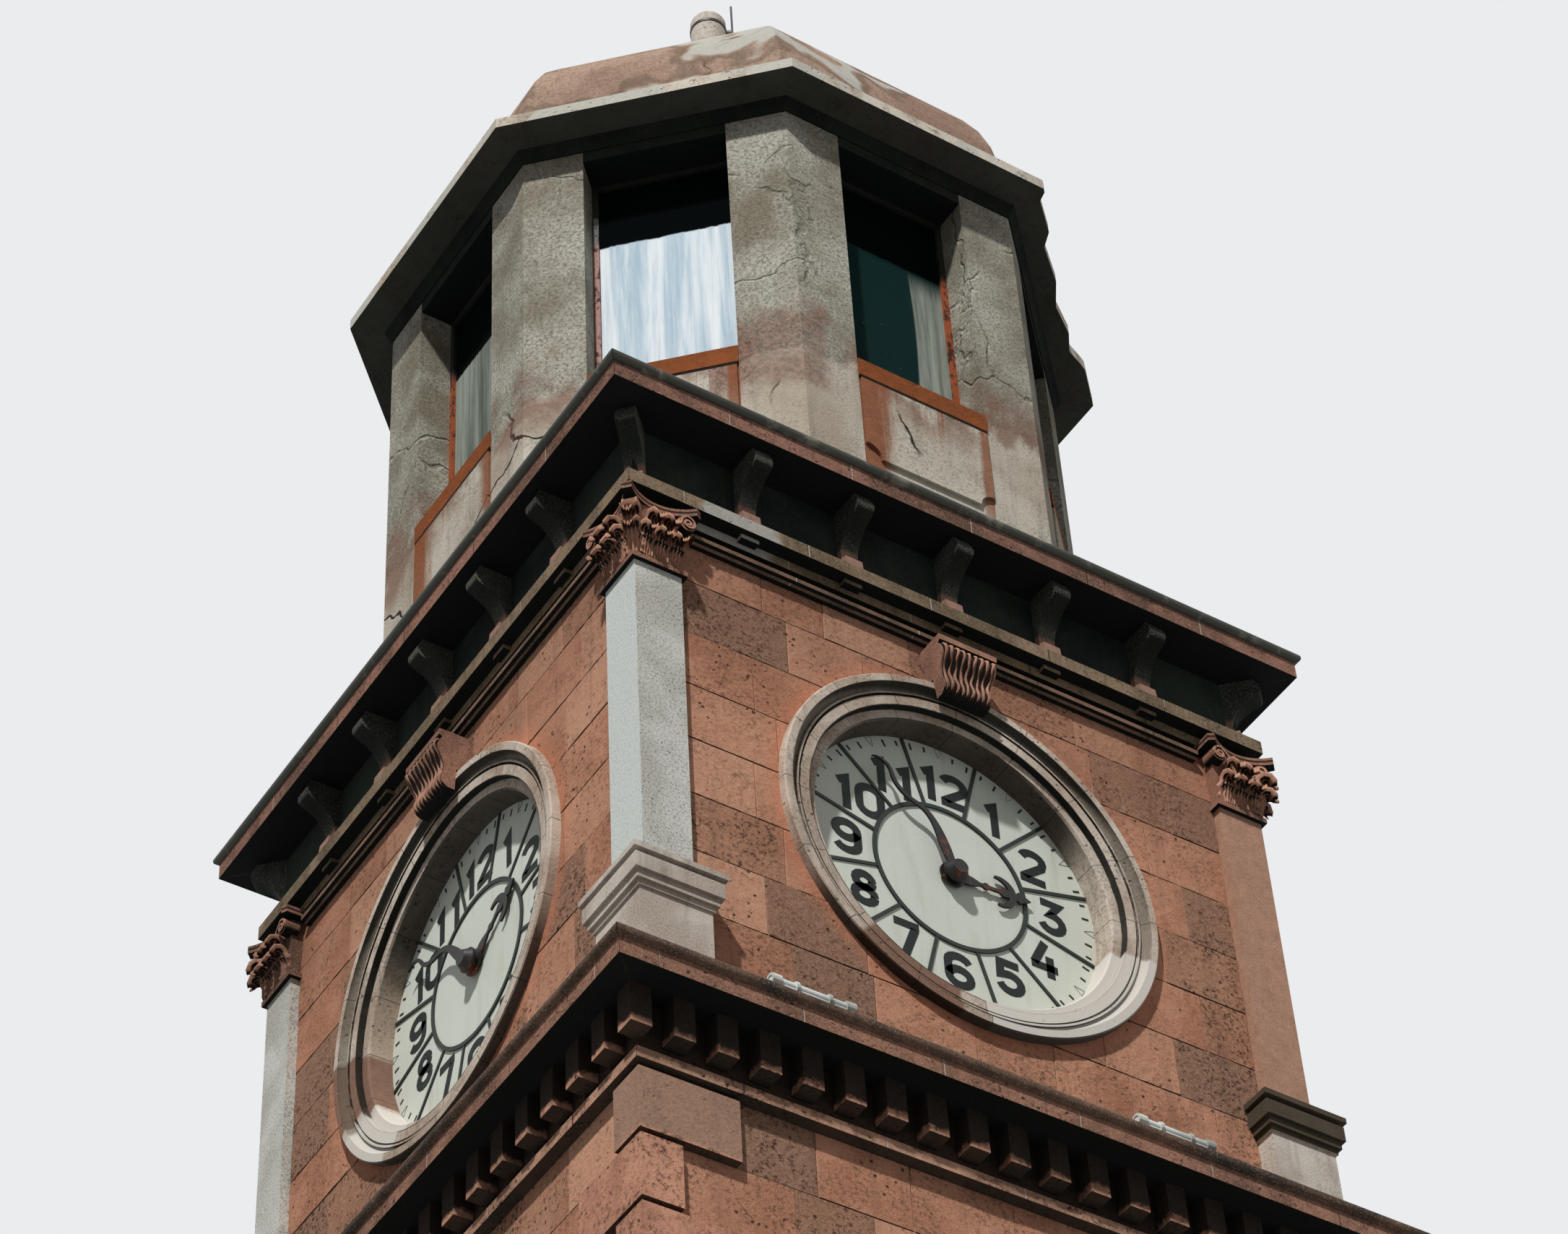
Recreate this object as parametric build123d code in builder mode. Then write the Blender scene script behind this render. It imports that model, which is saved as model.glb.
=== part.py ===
from build123d import *
from math import asin, atan2, cos, degrees, radians, sin, sqrt, tan
import os

os.makedirs("parts", exist_ok=True)

# Clock tower in millimetres. The origin is on the ground at the middle of the plan.
# The front faces -Y, the right side +X, the back +Y and the left side -X.

# Heights of the main levels
shaftTop = 15150          # top of the lower cornice, where the clock stage starts
ledgeHeight = 4270        # top of the architrave above the lower cornice
friezeHeight = 530        # plain band behind the brackets
cornicePlate = 137        # stone edge of the main cornice
lowerPlate = 116          # stone edge of the lower cornice
flashingHeight = 80       # sheet metal roll on top of each cornice
lanternFloorThick = 120
lanternWallHeight = 4075  # from the lantern floor to the eave slab

# Square plan: half its width over the corner pilasters, and what stands in or out from there
clockHalf = 2400
pilasterReach = 72        # of the pilasters in front of the wall of the clock stage
shaftStep = 120           # of the shaft in front of the pilasters
friezeReach = 36          # this reach and the next three are from the wall of the clock stage
ledgeReach = 139
mainCorniceReach = 362
lowerCorniceReach = 528
flashingReach = 36        # how far the metal roll stands out over the stone
shaftWall = 700
clockWall = 600

# Base of the shaft
plinthHeight = 900
plinthReach = 140
plinthSlope = 60
masonryJoint = 3

# Door in the front of the shaft
doorWidth = 1200
doorHeight = 2500
doorThick = 70
doorRecess = 260
surroundWidth = 180
surroundReach = 180
thresholdHeight = 60

# Corner quoins of the shaft
quoinReach = 60
quoinWide = 640
quoinNarrow = 265
quoinJoint = 36
quoinCourse = 460

# Band of dentils under the lower cornice
dentilWidth = 135
dentilDrop = 276
dentilDepth = 135
dentilBandReach = 33
dentilBandHeight = 360
dentilSpacing = 276
stringHeight = 72
stringReach = 84

# Corner pilasters
pilasterFace = 340
baseHeight = 1100
basePlinthHeight = 760
basePlinthReach = 72
baseBandHeight = 110
baseBandReach = 128
baseLipReach = 144
baseFilletReach = 60
capitalStart = 3538       # above the lower cornice
capitalHeight = 545
astragalHeight = 42
astragalReach = 30
abacusHeight = 62
abacusReach = 130
abacusHollow = 350        # radius of the hollow sides of the abacus
bellFlare = 34
voluteRadius = 58
voluteDrop = 14           # from the abacus to the top of a volute
voluteReach = 88          # from the pilaster face to the front of a volute
voluteThick = 76          # of the volute across each corner
leafWidth = 92
lowLeafHeight = 170
highLeafHeight = 300
leafCurl = 62             # how far a leaf tip leans out from the pilaster face
leafThick = 20

# Dials
dialCentre = 2208         # above the lower cornice
dialOpening = 1200
ringInner = 1092
ringOuter = 1380
ringReach = 72
dialSetback = 204         # dial face behind the wall face
dialThick = 40
dialRadius = 1180
hourArborRadius = 60
hourArborReach = 50
minuteArborRadius = 36
minuteArborReach = 118
arborClearance = 0.1
handThick = 14
hourHandGap = 20          # from the dial face to the back of the hour hand
minuteHandGap = 64
bossRadius = 86
bossReach = 62
bossTaper = 28            # degrees
hourHubRadius = 92
hourHandLength = 590

# Keystone console over each dial
keystoneTop = 3870
keystoneFoot = 3430
keystoneTopWidth = 450
keystoneFootWidth = 350
keystoneReach = 216

# Mouldings and tabs under the ledge
headMouldingFoot = 3936
headMouldingHeight = 60
headMouldingReach = 72
headMouldingEnd = 110     # from the pilaster to the end of the moulding
ledgeHeightOwn = 110
ledgeBandReach = 42
tabWidth = 132
tabReach = 110
tabHeight = 34

# Brackets of the main cornice
bracketSpacing = 774
bracketsPerSide = 5
bracketWidth = 130
bracketFootHeight = 80
bracketFootReach = 96
bracketWaistReach = 44
bracketHeadReach = 268
bracketHeadHeight = 170

# Octagonal lantern
lanternSetback = 50       # of the lantern's faces behind the pilasters
lanternWall = 400
windowWidth = 1056
sillHeight = 1500         # top of the sill above the lantern floor
sillDepth = 162
windowHeight = 2360
spandrelRecess = 8
sillReach = 14
panelFoot = 530           # foot of the raised panel above the lantern floor
panelReach = 26
panelGap = 12             # open joint round the panel
panelScoop = 118          # radius of the hollow at each lower corner of the panel
frameWidth = 46
frameThick = 60
frameRecess = 250
glassThick = 8
soffitMouldingHeight = 110
soffitMouldingReach = 60

# Eave, dome and finial
eaveReach = 300           # from the faces of the lantern
eaveThick = 100
domeSetback = 290         # from the edge of the eave
domeRise = 2150
domeFullness = 2.5        # 2 is an ellipse, more is a squarer shoulder
domeSetDown = 52          # centre of the dome's curve below the top of the eave
domeShell = 150
domeSteps = 12
finialFootRadius = 470
finialFootDepth = 90
finialNeckRadius = 186
finialNeckHeight = 900
finialRadius = 148
finialHeight = 2325
rodTurn = -35.6           # side of the finial on which the rod stands
rodRadius = 9
rodStandOff = 52          # from the finial to the middle of the rod
rodLength = 1250
rodOverTop = 185
rodCollarHeight = 30
rodCollarThick = 6
rodCollarGap = 520

# Tube lights on the front ledge
lightLength = 540
lightRadius = 30
lightBaseWidth = 50
lightBaseHeight = 34
lightInset = 45
lightPlaces = (-1590, 900)

# Derived half widths
clockWallHalf = clockHalf - pilasterReach
shaftHalf = clockHalf + shaftStep
friezeHalf = clockWallHalf + friezeReach
ledgeHalf = clockWallHalf + ledgeReach
mainCorniceHalf = clockWallHalf + mainCorniceReach
lowerCorniceHalf = clockWallHalf + lowerCorniceReach
lanternApothem = clockHalf - lanternSetback
eaveApothem = lanternApothem + eaveReach
domeApothem = eaveApothem - domeSetback

# Derived levels
corniceFoot = shaftTop - flashingHeight - lowerPlate
dentilFoot = corniceFoot - dentilBandHeight
stringFoot = dentilFoot - stringHeight
clockFoot = shaftTop - flashingHeight
ledgeTop = shaftTop + ledgeHeight
friezeTop = ledgeTop + friezeHeight
mainCorniceTop = friezeTop + cornicePlate
mainFlashingTop = mainCorniceTop + flashingHeight
lanternFoot = mainCorniceTop + lanternFloorThick
eaveFoot = lanternFoot + lanternWallHeight
eaveTop = eaveFoot + eaveThick
domeCentre = eaveTop - domeSetDown
domeTop = domeCentre + domeRise
dialHeight = shaftTop + dialCentre
capitalFoot = shaftTop + capitalStart
capitalTop = capitalFoot + capitalHeight
dialFace = clockWallHalf - dialSetback
sides = {"front": 0, "right": 90, "back": 180, "left": 270}


def outward(angle):
    """Unit vector out of the side at this angle, counted from the front."""
    return Vector(sin(radians(angle)), -cos(radians(angle)), 0)


def along(angle):
    """Unit vector to the right along the side at this angle, seen from outside."""
    return Vector(cos(radians(angle)), sin(radians(angle)), 0)


def facePlane(angle, distance, height):
    """Plane flat on a side: x to the right, y up, normal outward."""
    return Plane(
        origin=outward(angle) * distance + Vector(0, 0, height),
        x_dir=along(angle),
        z_dir=outward(angle),
    )


def profilePlane(angle, start):
    """Plane across a side: x outward, y up, normal along the side, through start."""
    return Plane(origin=along(angle) * start, x_dir=outward(angle), z_dir=-along(angle))


def levelPlane(angle, height):
    """Level plane turned with a side: x to the right, y inward."""
    return Plane(origin=(0, 0, height), x_dir=along(angle), z_dir=(0, 0, 1))


def squareRing(outer, inner, height):
    """Adds a square ring of stone, extruded up from the plane of its block."""
    with BuildSketch(Plane.XY.offset(height[0])) as ring:
        Rectangle(2 * outer, 2 * outer)
        Rectangle(2 * inner, 2 * inner, mode=Mode.SUBTRACT)
    extrude(ring.sketch, amount=height[1] - height[0])


def cutMitres(reach, foot, top):
    """Cuts the open joints on the four mitres of a square ring."""
    for turn in (45, 135):
        with BuildSketch(Plane(origin=(0, 0, foot), x_dir=along(turn), z_dir=(0, 0, 1))) as joint:
            Rectangle(3 * reach, masonryJoint)
        extrude(joint.sketch, amount=top - foot, mode=Mode.SUBTRACT)


def finish(block, name):
    """Labels a finished piece and writes it."""
    block.part.label = name
    export_step(block.part, "parts/" + name + ".step")


# Walls of the shaft: the front and back run the full width, the sides fit between
for sideName, angle in sides.items():
    fullWidth = sideName in ("front", "back")
    halfLength = shaftHalf if fullWidth else shaftHalf - shaftWall
    with BuildPart() as wall:
        with BuildSketch(facePlane(angle, shaftHalf - shaftWall, 0)):
            with Locations((0, corniceFoot / 2)):
                Rectangle(2 * halfLength, corniceFoot)
            if sideName == "front":
                with Locations((0, doorHeight / 2)):
                    Rectangle(doorWidth, doorHeight, mode=Mode.SUBTRACT)
        extrude(amount=shaftWall)
    finish(wall, "shaft_" + sideName + "_wall")

# Plinth: facing stones with a weathered top, left open for the door surround
with BuildPart() as plinth:
    squareRing(shaftHalf + plinthReach, shaftHalf, (0, plinthHeight - plinthSlope))
    with BuildSketch(Plane.XY.offset(plinthHeight - plinthSlope)):
        Rectangle(2 * (shaftHalf + plinthReach), 2 * (shaftHalf + plinthReach))
    with BuildSketch(Plane.XY.offset(plinthHeight)):
        Rectangle(2 * (shaftHalf + plinthReach - plinthSlope), 2 * (shaftHalf + plinthReach - plinthSlope))
    loft()
    with BuildSketch(Plane.XY):
        Rectangle(2 * shaftHalf, 2 * shaftHalf)
    extrude(amount=plinthHeight, mode=Mode.SUBTRACT)
    cutMitres(shaftHalf + plinthReach, 0, plinthHeight)
    with BuildSketch(facePlane(0, shaftHalf, 0)):
        with Locations((0, plinthHeight / 2)):
            Rectangle(doorWidth + 2 * surroundWidth, plinthHeight)
    extrude(amount=plinthReach, mode=Mode.SUBTRACT)
finish(plinth, "plinth")

# Stone surround of the door: jambs, lintel and threshold
with BuildPart() as doorSurround:
    with BuildSketch(facePlane(0, shaftHalf, 0)):
        with Locations((0, (doorHeight + surroundWidth) / 2)):
            Rectangle(doorWidth + 2 * surroundWidth, doorHeight + surroundWidth)
        with Locations((0, doorHeight / 2)):
            Rectangle(doorWidth, doorHeight, mode=Mode.SUBTRACT)
    extrude(amount=surroundReach)
    with BuildSketch(facePlane(0, shaftHalf, 0)):
        with Locations((0, doorHeight)):
            Rectangle(doorWidth + 2 * surroundWidth, masonryJoint)
    extrude(amount=surroundReach, mode=Mode.SUBTRACT)
    with BuildSketch(facePlane(0, shaftHalf - shaftWall, 0)):
        with Locations((0, thresholdHeight / 2)):
            Rectangle(doorWidth - 2 * masonryJoint, thresholdHeight)
    extrude(amount=shaftWall + surroundReach)
finish(doorSurround, "door_surround")

# Plain plank door, set back in its opening
with BuildPart() as door:
    with BuildSketch(facePlane(0, shaftHalf - doorRecess - doorThick, 0)):
        with Locations((0, (doorHeight + thresholdHeight) / 2)):
            Rectangle(doorWidth, doorHeight - thresholdHeight)
    extrude(amount=doorThick)
finish(door, "door_leaf")

# Quoins: L-shaped blocks, long on one face and short on the other, turn about
quoinZone = stringFoot - plinthHeight
quoinCount = round(quoinZone / quoinCourse)
quoinPitch = quoinZone / quoinCount
outerEdge = shaftHalf + quoinReach
with BuildPart() as quoins:
    for parity in (0, 1):
        faceLeg = quoinNarrow if parity else quoinWide
        sideLeg = quoinWide if parity else quoinNarrow
        rows = [row for row in range(quoinCount) if (quoinCount - 1 - row) % 2 == parity]
        places = [levelPlane(turn, plinthHeight + row * quoinPitch) for turn in sides.values() for row in rows]
        with BuildSketch(*places):
            with BuildLine():
                Polyline(
                    (-outerEdge, -outerEdge),
                    (-outerEdge + faceLeg, -outerEdge),
                    (-outerEdge + faceLeg, -shaftHalf),
                    (-shaftHalf, -shaftHalf),
                    (-shaftHalf, -outerEdge + sideLeg),
                    (-outerEdge, -outerEdge + sideLeg),
                    close=True,
                )
            make_face()
        extrude(amount=quoinPitch - quoinJoint)
finish(quoins, "corner_quoins")

# String course under the dentils
with BuildPart() as stringCourse:
    squareRing(shaftHalf + stringReach, shaftHalf, (stringFoot, dentilFoot))
    cutMitres(shaftHalf + stringReach, stringFoot, dentilFoot)
finish(stringCourse, "lower_string_course")

# Dentils: square blocks hung under the cornice, in one with the band behind them
bandHalf = shaftHalf + dentilBandReach
dentilOuter = bandHalf + dentilDepth
dentilRun = 2 * dentilOuter - dentilWidth
dentilGaps = round(dentilRun / dentilSpacing)
dentilPitch = dentilRun / dentilGaps
with BuildPart() as dentils:
    squareRing(bandHalf, shaftHalf, (dentilFoot, corniceFoot))
    for angle in sides.values():
        with BuildSketch(levelPlane(angle, corniceFoot - dentilDrop)):
            for index in range(dentilGaps):
                offset = -dentilRun / 2 + index * dentilPitch
                with Locations((offset, -bandHalf - dentilDepth / 2)):
                    Rectangle(dentilWidth, dentilDepth)
        extrude(amount=dentilDrop)
finish(dentils, "dentil_course")

# Lower cornice: a plain deep stone edge on the walls
with BuildPart() as lowerCornice:
    squareRing(lowerCorniceHalf, shaftHalf - shaftWall, (corniceFoot, clockFoot))
    cutMitres(lowerCorniceHalf, corniceFoot, clockFoot)
finish(lowerCornice, "lower_cornice")

# Metal flashings with a rolled edge on both cornices
lanternFloorHalf = mainCorniceHalf - 250
for flashingName, half, inner, foot in (
    ("lower_flashing", lowerCorniceHalf, clockWallHalf, clockFoot),
    ("main_flashing", mainCorniceHalf, lanternFloorHalf, mainCorniceTop),
):
    reach = half + flashingReach
    with BuildPart() as flashing:
        squareRing(reach, inner, (foot, foot + flashingHeight))
        roll = edges().filter_by(lambda e: abs(abs(e.center().X) - reach) < 1 or abs(abs(e.center().Y) - reach) < 1)
        roll = roll.filter_by(lambda e: min(abs(e.center().Z - foot), abs(e.center().Z - foot - flashingHeight)) < 1)
        fillet(roll, flashingHeight * 0.46)
        cutMitres(reach, foot, foot + flashingHeight)
    finish(flashing, flashingName)

# Walls of the clock stage with a round opening for each dial
for sideName, angle in sides.items():
    fullWidth = sideName in ("front", "back")
    halfLength = clockWallHalf if fullWidth else clockWallHalf - clockWall
    with BuildPart() as wall:
        with BuildSketch(facePlane(angle, clockWallHalf - clockWall, 0)):
            with Locations((0, (clockFoot + ledgeTop) / 2)):
                Rectangle(2 * halfLength, ledgeTop - clockFoot)
            with Locations((0, dialHeight)):
                Circle(dialOpening, mode=Mode.SUBTRACT)
        extrude(amount=clockWall)
    finish(wall, "clock_" + sideName + "_wall")


def cornerShape(outer, inward):
    """L-shaped plan of a corner piece round the wall: outer reach, and run along each face."""
    with BuildLine() as outline:
        Polyline(
            (-outer, -outer),
            (-inward, -outer),
            (-inward, -clockWallHalf),
            (-clockWallHalf, -clockWallHalf),
            (-clockWallHalf, -inward),
            (-outer, -inward),
            close=True,
        )
    make_face(outline.edges())


# Bases of the corner pilasters: plinth block, cavetto, band, lip and fillet
pilasterEdge = clockHalf - pilasterFace
bandFoot = shaftTop + basePlinthHeight + 90
baseSteps = (
    (shaftTop, shaftTop + basePlinthHeight, basePlinthReach),
    (shaftTop + basePlinthHeight, shaftTop + basePlinthHeight + 36, basePlinthReach + 14),
    (shaftTop + basePlinthHeight + 36, bandFoot, basePlinthReach + 34),
    (bandFoot, bandFoot + baseBandHeight, baseBandReach),
    (bandFoot + baseBandHeight, bandFoot + baseBandHeight + 26, baseBandReach - 22),
    (bandFoot + baseBandHeight + 26, bandFoot + baseBandHeight + 66, baseLipReach),
    (bandFoot + baseBandHeight + 66, shaftTop + baseHeight, baseFilletReach),
)
with BuildPart() as bases:
    for turn in (0, 90, 180, 270):
        for low, high, reach in baseSteps:
            with BuildSketch(levelPlane(turn, low)):
                cornerShape(clockHalf + reach, pilasterEdge - reach)
            extrude(amount=high - low)
finish(bases, "pilaster_bases")

# Shafts of the corner pilasters
with BuildPart() as pilasters:
    for turn in (0, 90, 180, 270):
        with BuildSketch(levelPlane(turn, shaftTop + baseHeight)):
            cornerShape(clockHalf, pilasterEdge)
        extrude(amount=capitalFoot - shaftTop - baseHeight)
finish(pilasters, "corner_pilasters")


bellFoot = capitalFoot + astragalHeight
abacusFoot = capitalTop - abacusHeight
bellTop = abacusFoot
horn = clockHalf + abacusReach
hornInner = pilasterEdge - abacusReach + 36


def leaves(offsets, width, height, curl):
    """Adds one lobe of each leaf: it stands on the astragal and leans out to its curled tip."""
    middles = [hand * (clockHalf - offset) for offset in offsets for hand in (-1, 1)]
    planes = [profilePlane(turn, middle - width / 2) for turn in sides.values() for middle in middles]
    root = clockHalf - leafThick
    with BuildSketch(*planes) as lobes:
        with BuildLine() as outline:
            Line((root, bellFoot), (clockHalf + leafThick, bellFoot))
            Spline(
                (clockHalf + leafThick, bellFoot),
                (clockHalf + leafThick + curl * 0.12, bellFoot + height * 0.55),
                (clockHalf + leafThick + curl * 0.6, bellFoot + height * 0.86),
                (clockHalf + leafThick + curl, bellFoot + height * 0.94),
            )
            Line((clockHalf + leafThick + curl, bellFoot + height * 0.94), (clockHalf + leafThick, bellFoot + height))
            Polyline((clockHalf + leafThick, bellFoot + height), (root, bellFoot + height), (root, bellFoot))
        make_face(outline.edges())
    extrude(lobes.sketch, amount=-width)


# Corner capitals: astragal, flared bell, two rows of leaves, volutes and hollow-sided abacus
lowLeaves = [pilasterFace * share for share in (0.17, 0.5, 0.83)]
highLeaves = [pilasterFace * share for share in (0.335, 0.665)]
voluteLevel = abacusFoot - voluteRadius - voluteDrop
with BuildPart() as capitals:
    for turn in (0, 90, 180, 270):
        with BuildSketch(levelPlane(turn, capitalFoot)):
            cornerShape(clockHalf + astragalReach, pilasterEdge - astragalReach)
        extrude(amount=astragalHeight)
        with BuildSketch(levelPlane(turn, bellFoot)):
            cornerShape(clockHalf, pilasterEdge)
        with BuildSketch(levelPlane(turn, bellTop)):
            cornerShape(clockHalf + bellFlare, pilasterEdge - bellFlare)
        loft(ruled=True)
        with BuildSketch(levelPlane(turn, abacusFoot)):
            with BuildLine():
                Line((-horn, -horn + 46), (-horn + 46, -horn))
                RadiusArc((-horn + 46, -horn), (-hornInner - 40, -horn + 6), abacusHollow)
                Polyline((-hornInner - 40, -horn + 6), (-hornInner, -horn + 30), (-hornInner, -clockWallHalf))
                Polyline((-hornInner, -clockWallHalf), (-clockWallHalf, -clockWallHalf), (-clockWallHalf, -hornInner))
                Polyline((-clockWallHalf, -hornInner), (-horn + 30, -hornInner), (-horn + 6, -hornInner - 40))
                RadiusArc((-horn + 6, -hornInner - 40), (-horn, -horn + 46), abacusHollow)
            make_face()
        extrude(amount=abacusHeight)
        with BuildSketch(facePlane(turn, clockHalf - leafThick, voluteLevel)):
            with Locations((-pilasterEdge + 6, 0), (pilasterEdge - 6, 0)):
                Circle(voluteRadius)
        extrude(amount=voluteReach + leafThick)
        with BuildSketch(profilePlane(turn + 45, -voluteThick / 2)):
            with Locations(((clockHalf + bellFlare) * sqrt(2), voluteLevel)):
                Circle(voluteRadius)
        extrude(amount=-voluteThick)
    leaves(highLeaves, leafWidth * 0.56, highLeafHeight, leafCurl * 0.8)
    leaves(highLeaves, leafWidth, highLeafHeight * 0.86, leafCurl * 0.5)
    leaves(lowLeaves, leafWidth * 0.52, lowLeafHeight, leafCurl)
    leaves(lowLeaves, leafWidth, lowLeafHeight * 0.82, leafCurl * 0.7)
finish(capitals, "corner_capitals")


def revolvePlane(angle, height):
    """Plane through a side's outward axis: x up from the axis, y outward."""
    return Plane(origin=(0, 0, height), x_dir=(0, 0, 1), z_dir=along(angle))


# Moulded stone ring round each dial, with a deep reveal behind it
ringFront = clockWallHalf + ringReach
ringSpan = ringOuter - ringInner
coveOuter = ringOuter - 0.21 * ringSpan
coveInner = ringInner + 0.61 * ringSpan
bandEdge = ringInner + 0.51 * ringSpan
stepEdge = ringInner + 0.26 * ringSpan
with BuildPart() as surrounds:
    for angle in sides.values():
        with BuildSketch(revolvePlane(angle, dialHeight)):
            with BuildLine():
                Polyline(
                    (coveInner, clockWallHalf + 14),
                    (coveInner, clockWallHalf + 32),
                    (coveInner - 15, clockWallHalf + 32),
                    (coveInner - 15, clockWallHalf + 4),
                    (bandEdge, clockWallHalf + 4),
                    (bandEdge, clockWallHalf + 26),
                    (stepEdge, clockWallHalf + 22),
                    (stepEdge, clockWallHalf - 24),
                    (ringInner + 12, clockWallHalf - 28),
                    (ringInner, clockWallHalf - 42),
                    (ringInner, dialFace),
                    (dialOpening, dialFace),
                    (dialOpening, clockWallHalf),
                    (ringOuter, clockWallHalf),
                    (ringOuter, ringFront - 8),
                    (ringOuter - 8, ringFront),
                    (coveOuter, ringFront),
                    (coveOuter, ringFront - 8),
                )
                RadiusArc((coveOuter, ringFront - 8), (coveInner, clockWallHalf + 14), 62)
            make_face()
        revolve(axis=Axis((0, 0, dialHeight), tuple(outward(angle))))
finish(surrounds, "dial_surrounds")

# Keystone consoles: tapered blocks with a scrolled front over each ring
with BuildPart() as keystones:
    for angle in sides.values():
        with BuildSketch(profilePlane(angle, -keystoneTopWidth / 2)):
            with BuildLine():
                Polyline(
                    (clockWallHalf, shaftTop + keystoneTop),
                    (clockWallHalf + keystoneReach, shaftTop + keystoneTop),
                    (clockWallHalf + keystoneReach, shaftTop + keystoneTop - 46),
                    (clockWallHalf + keystoneReach - 26, shaftTop + keystoneTop - 60),
                )
                Spline(
                    (clockWallHalf + keystoneReach - 26, shaftTop + keystoneTop - 60),
                    (clockWallHalf + keystoneReach - 4, shaftTop + keystoneTop - 150),
                    (clockWallHalf + ringReach + 84, shaftTop + keystoneTop - 290),
                    (clockWallHalf + ringReach + 96, shaftTop + keystoneFoot + 44),
                    (clockWallHalf + ringReach + 50, shaftTop + keystoneFoot),
                )
                Polyline(
                    (clockWallHalf + ringReach + 50, shaftTop + keystoneFoot),
                    (clockWallHalf + ringReach, shaftTop + keystoneFoot),
                    (clockWallHalf + ringReach, dialHeight + ringOuter + 4),
                    (clockWallHalf, dialHeight + ringOuter + 4),
                    (clockWallHalf, shaftTop + keystoneTop),
                )
            make_face()
        extrude(amount=-keystoneTopWidth)
        taper = (keystoneTopWidth - keystoneFootWidth) / 2
        with BuildSketch(facePlane(angle, clockWallHalf, 0)):
            for hand in (-1, 1):
                with BuildLine():
                    Polyline(
                        (hand * keystoneTopWidth / 2, shaftTop + keystoneTop),
                        (hand * (keystoneTopWidth / 2 - taper), shaftTop + keystoneFoot),
                        (hand * (keystoneTopWidth / 2 + 10), shaftTop + keystoneFoot),
                        close=True,
                    )
                make_face()
        extrude(amount=keystoneReach, mode=Mode.SUBTRACT)
finish(keystones, "keystone_consoles")

# Dial plates, seated against the back of each reveal, with a raised inner circle line
with BuildPart() as dials:
    for angle in sides.values():
        with BuildSketch(facePlane(angle, dialFace - dialThick, dialHeight)):
            Circle(dialRadius)
        extrude(amount=dialThick)
finish(dials, "dial_plates")

# Stepped arbors that carry the hands
with BuildPart() as arbors:
    for angle in sides.values():
        with BuildSketch(facePlane(angle, dialFace, dialHeight)):
            Circle(hourArborRadius)
        extrude(amount=hourArborReach)
        with BuildSketch(facePlane(angle, dialFace + hourArborReach, dialHeight)):
            Circle(minuteArborRadius)
        extrude(amount=minuteArborReach - hourArborReach)
finish(arbors, "dial_arbors")

# Rest positions of the hands in degrees clockwise from twelve
minuteRest = {"front": 317, "right": 317, "back": 317, "left": 298}
hourRest = {"front": 87, "right": 87, "back": 87, "left": 58}


def handPlane(angle, distance, clockwise):
    """Plane on a dial turned so that y runs along the hand."""
    turn = radians(clockwise)
    return Plane(
        origin=outward(angle) * distance + Vector(0, 0, dialHeight),
        x_dir=along(angle) * cos(turn) - Vector(0, 0, 1) * sin(turn),
        z_dir=outward(angle),
    )


def ribbon(points, widths):
    """Outline of a curved hand: a smooth middle line with a width at each point."""
    left = []
    right = []
    for index, (x, y) in enumerate(points):
        before = points[max(index - 1, 0)]
        after = points[min(index + 1, len(points) - 1)]
        turn = atan2(after[1] - before[1], after[0] - before[0])
        half = widths[index] / 2
        left.append((x - sin(turn) * half, y + cos(turn) * half))
        right.append((x + sin(turn) * half, y - cos(turn) * half))
    with BuildLine() as outline:
        Spline(*left)
        Line(left[-1], right[-1])
        Spline(*right)
        Line(right[0], left[0])
    make_face(outline.edges())


# Middle line of the serpentine minute hand, from the boss out, and its widths
minuteLine = (
    (14, 50),
    (48, 135),
    (99, 247),
    (138, 363),
    (136, 460),
    (99, 540),
    (78, 623),
    (97, 725),
    (128, 790),
    (124, 850),
    (64, 908),
)
minuteWidths = (50, 74, 66, 44, 36, 32, 30, 28, 24, 18, 6)
for sideName, angle in sides.items():
    back = dialFace + minuteHandGap
    with BuildPart() as minuteHand:
        with BuildSketch(handPlane(angle, back, minuteRest[sideName])):
            ribbon(minuteLine, minuteWidths)
            Circle(bossRadius)
        extrude(amount=handThick)
        with BuildSketch(handPlane(angle, back + handThick, minuteRest[sideName])):
            Circle(bossRadius - 8)
        extrude(amount=bossReach - handThick, taper=bossTaper)
        with BuildSketch(facePlane(angle, back, dialHeight)):
            Circle(minuteArborRadius + arborClearance)
        extrude(amount=minuteArborReach - minuteHandGap + arborClearance, mode=Mode.SUBTRACT)
    finish(minuteHand, "minute_hand_" + sideName)

    back = dialFace + hourHandGap
    with BuildPart() as hourHand:
        with BuildSketch(handPlane(angle, back, hourRest[sideName])):
            Circle(hourHubRadius)
            ribbon(((0, 70), (0, 120), (0, 160), (0, 200)), (60, 78, 60, 30))
            with Locations((0, 290)):
                Rectangle(26, 220)
            with Locations((0, 250)):
                Circle(26)
            with Locations((0, 395)):
                Ellipse(34, 46)
            with BuildLine():
                ThreePointArc((-120, 330), (0, 480), (120, 330))
                Line((120, 330), (104, 326))
                ThreePointArc((104, 326), (0, 428), (-104, 326))
                Line((-104, 326), (-120, 330))
            make_face()
            with BuildLine():
                Polyline(
                    (-16, 440), (-16, 470), (-46, 500), (0, hourHandLength), (46, 500), (16, 470), (16, 440), close=True
                )
            make_face()
        extrude(amount=handThick)
        with BuildSketch(facePlane(angle, back, dialHeight)):
            Circle(hourArborRadius + arborClearance)
        extrude(amount=handThick, mode=Mode.SUBTRACT)
    finish(hourHand, "hour_hand_" + sideName)

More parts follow.
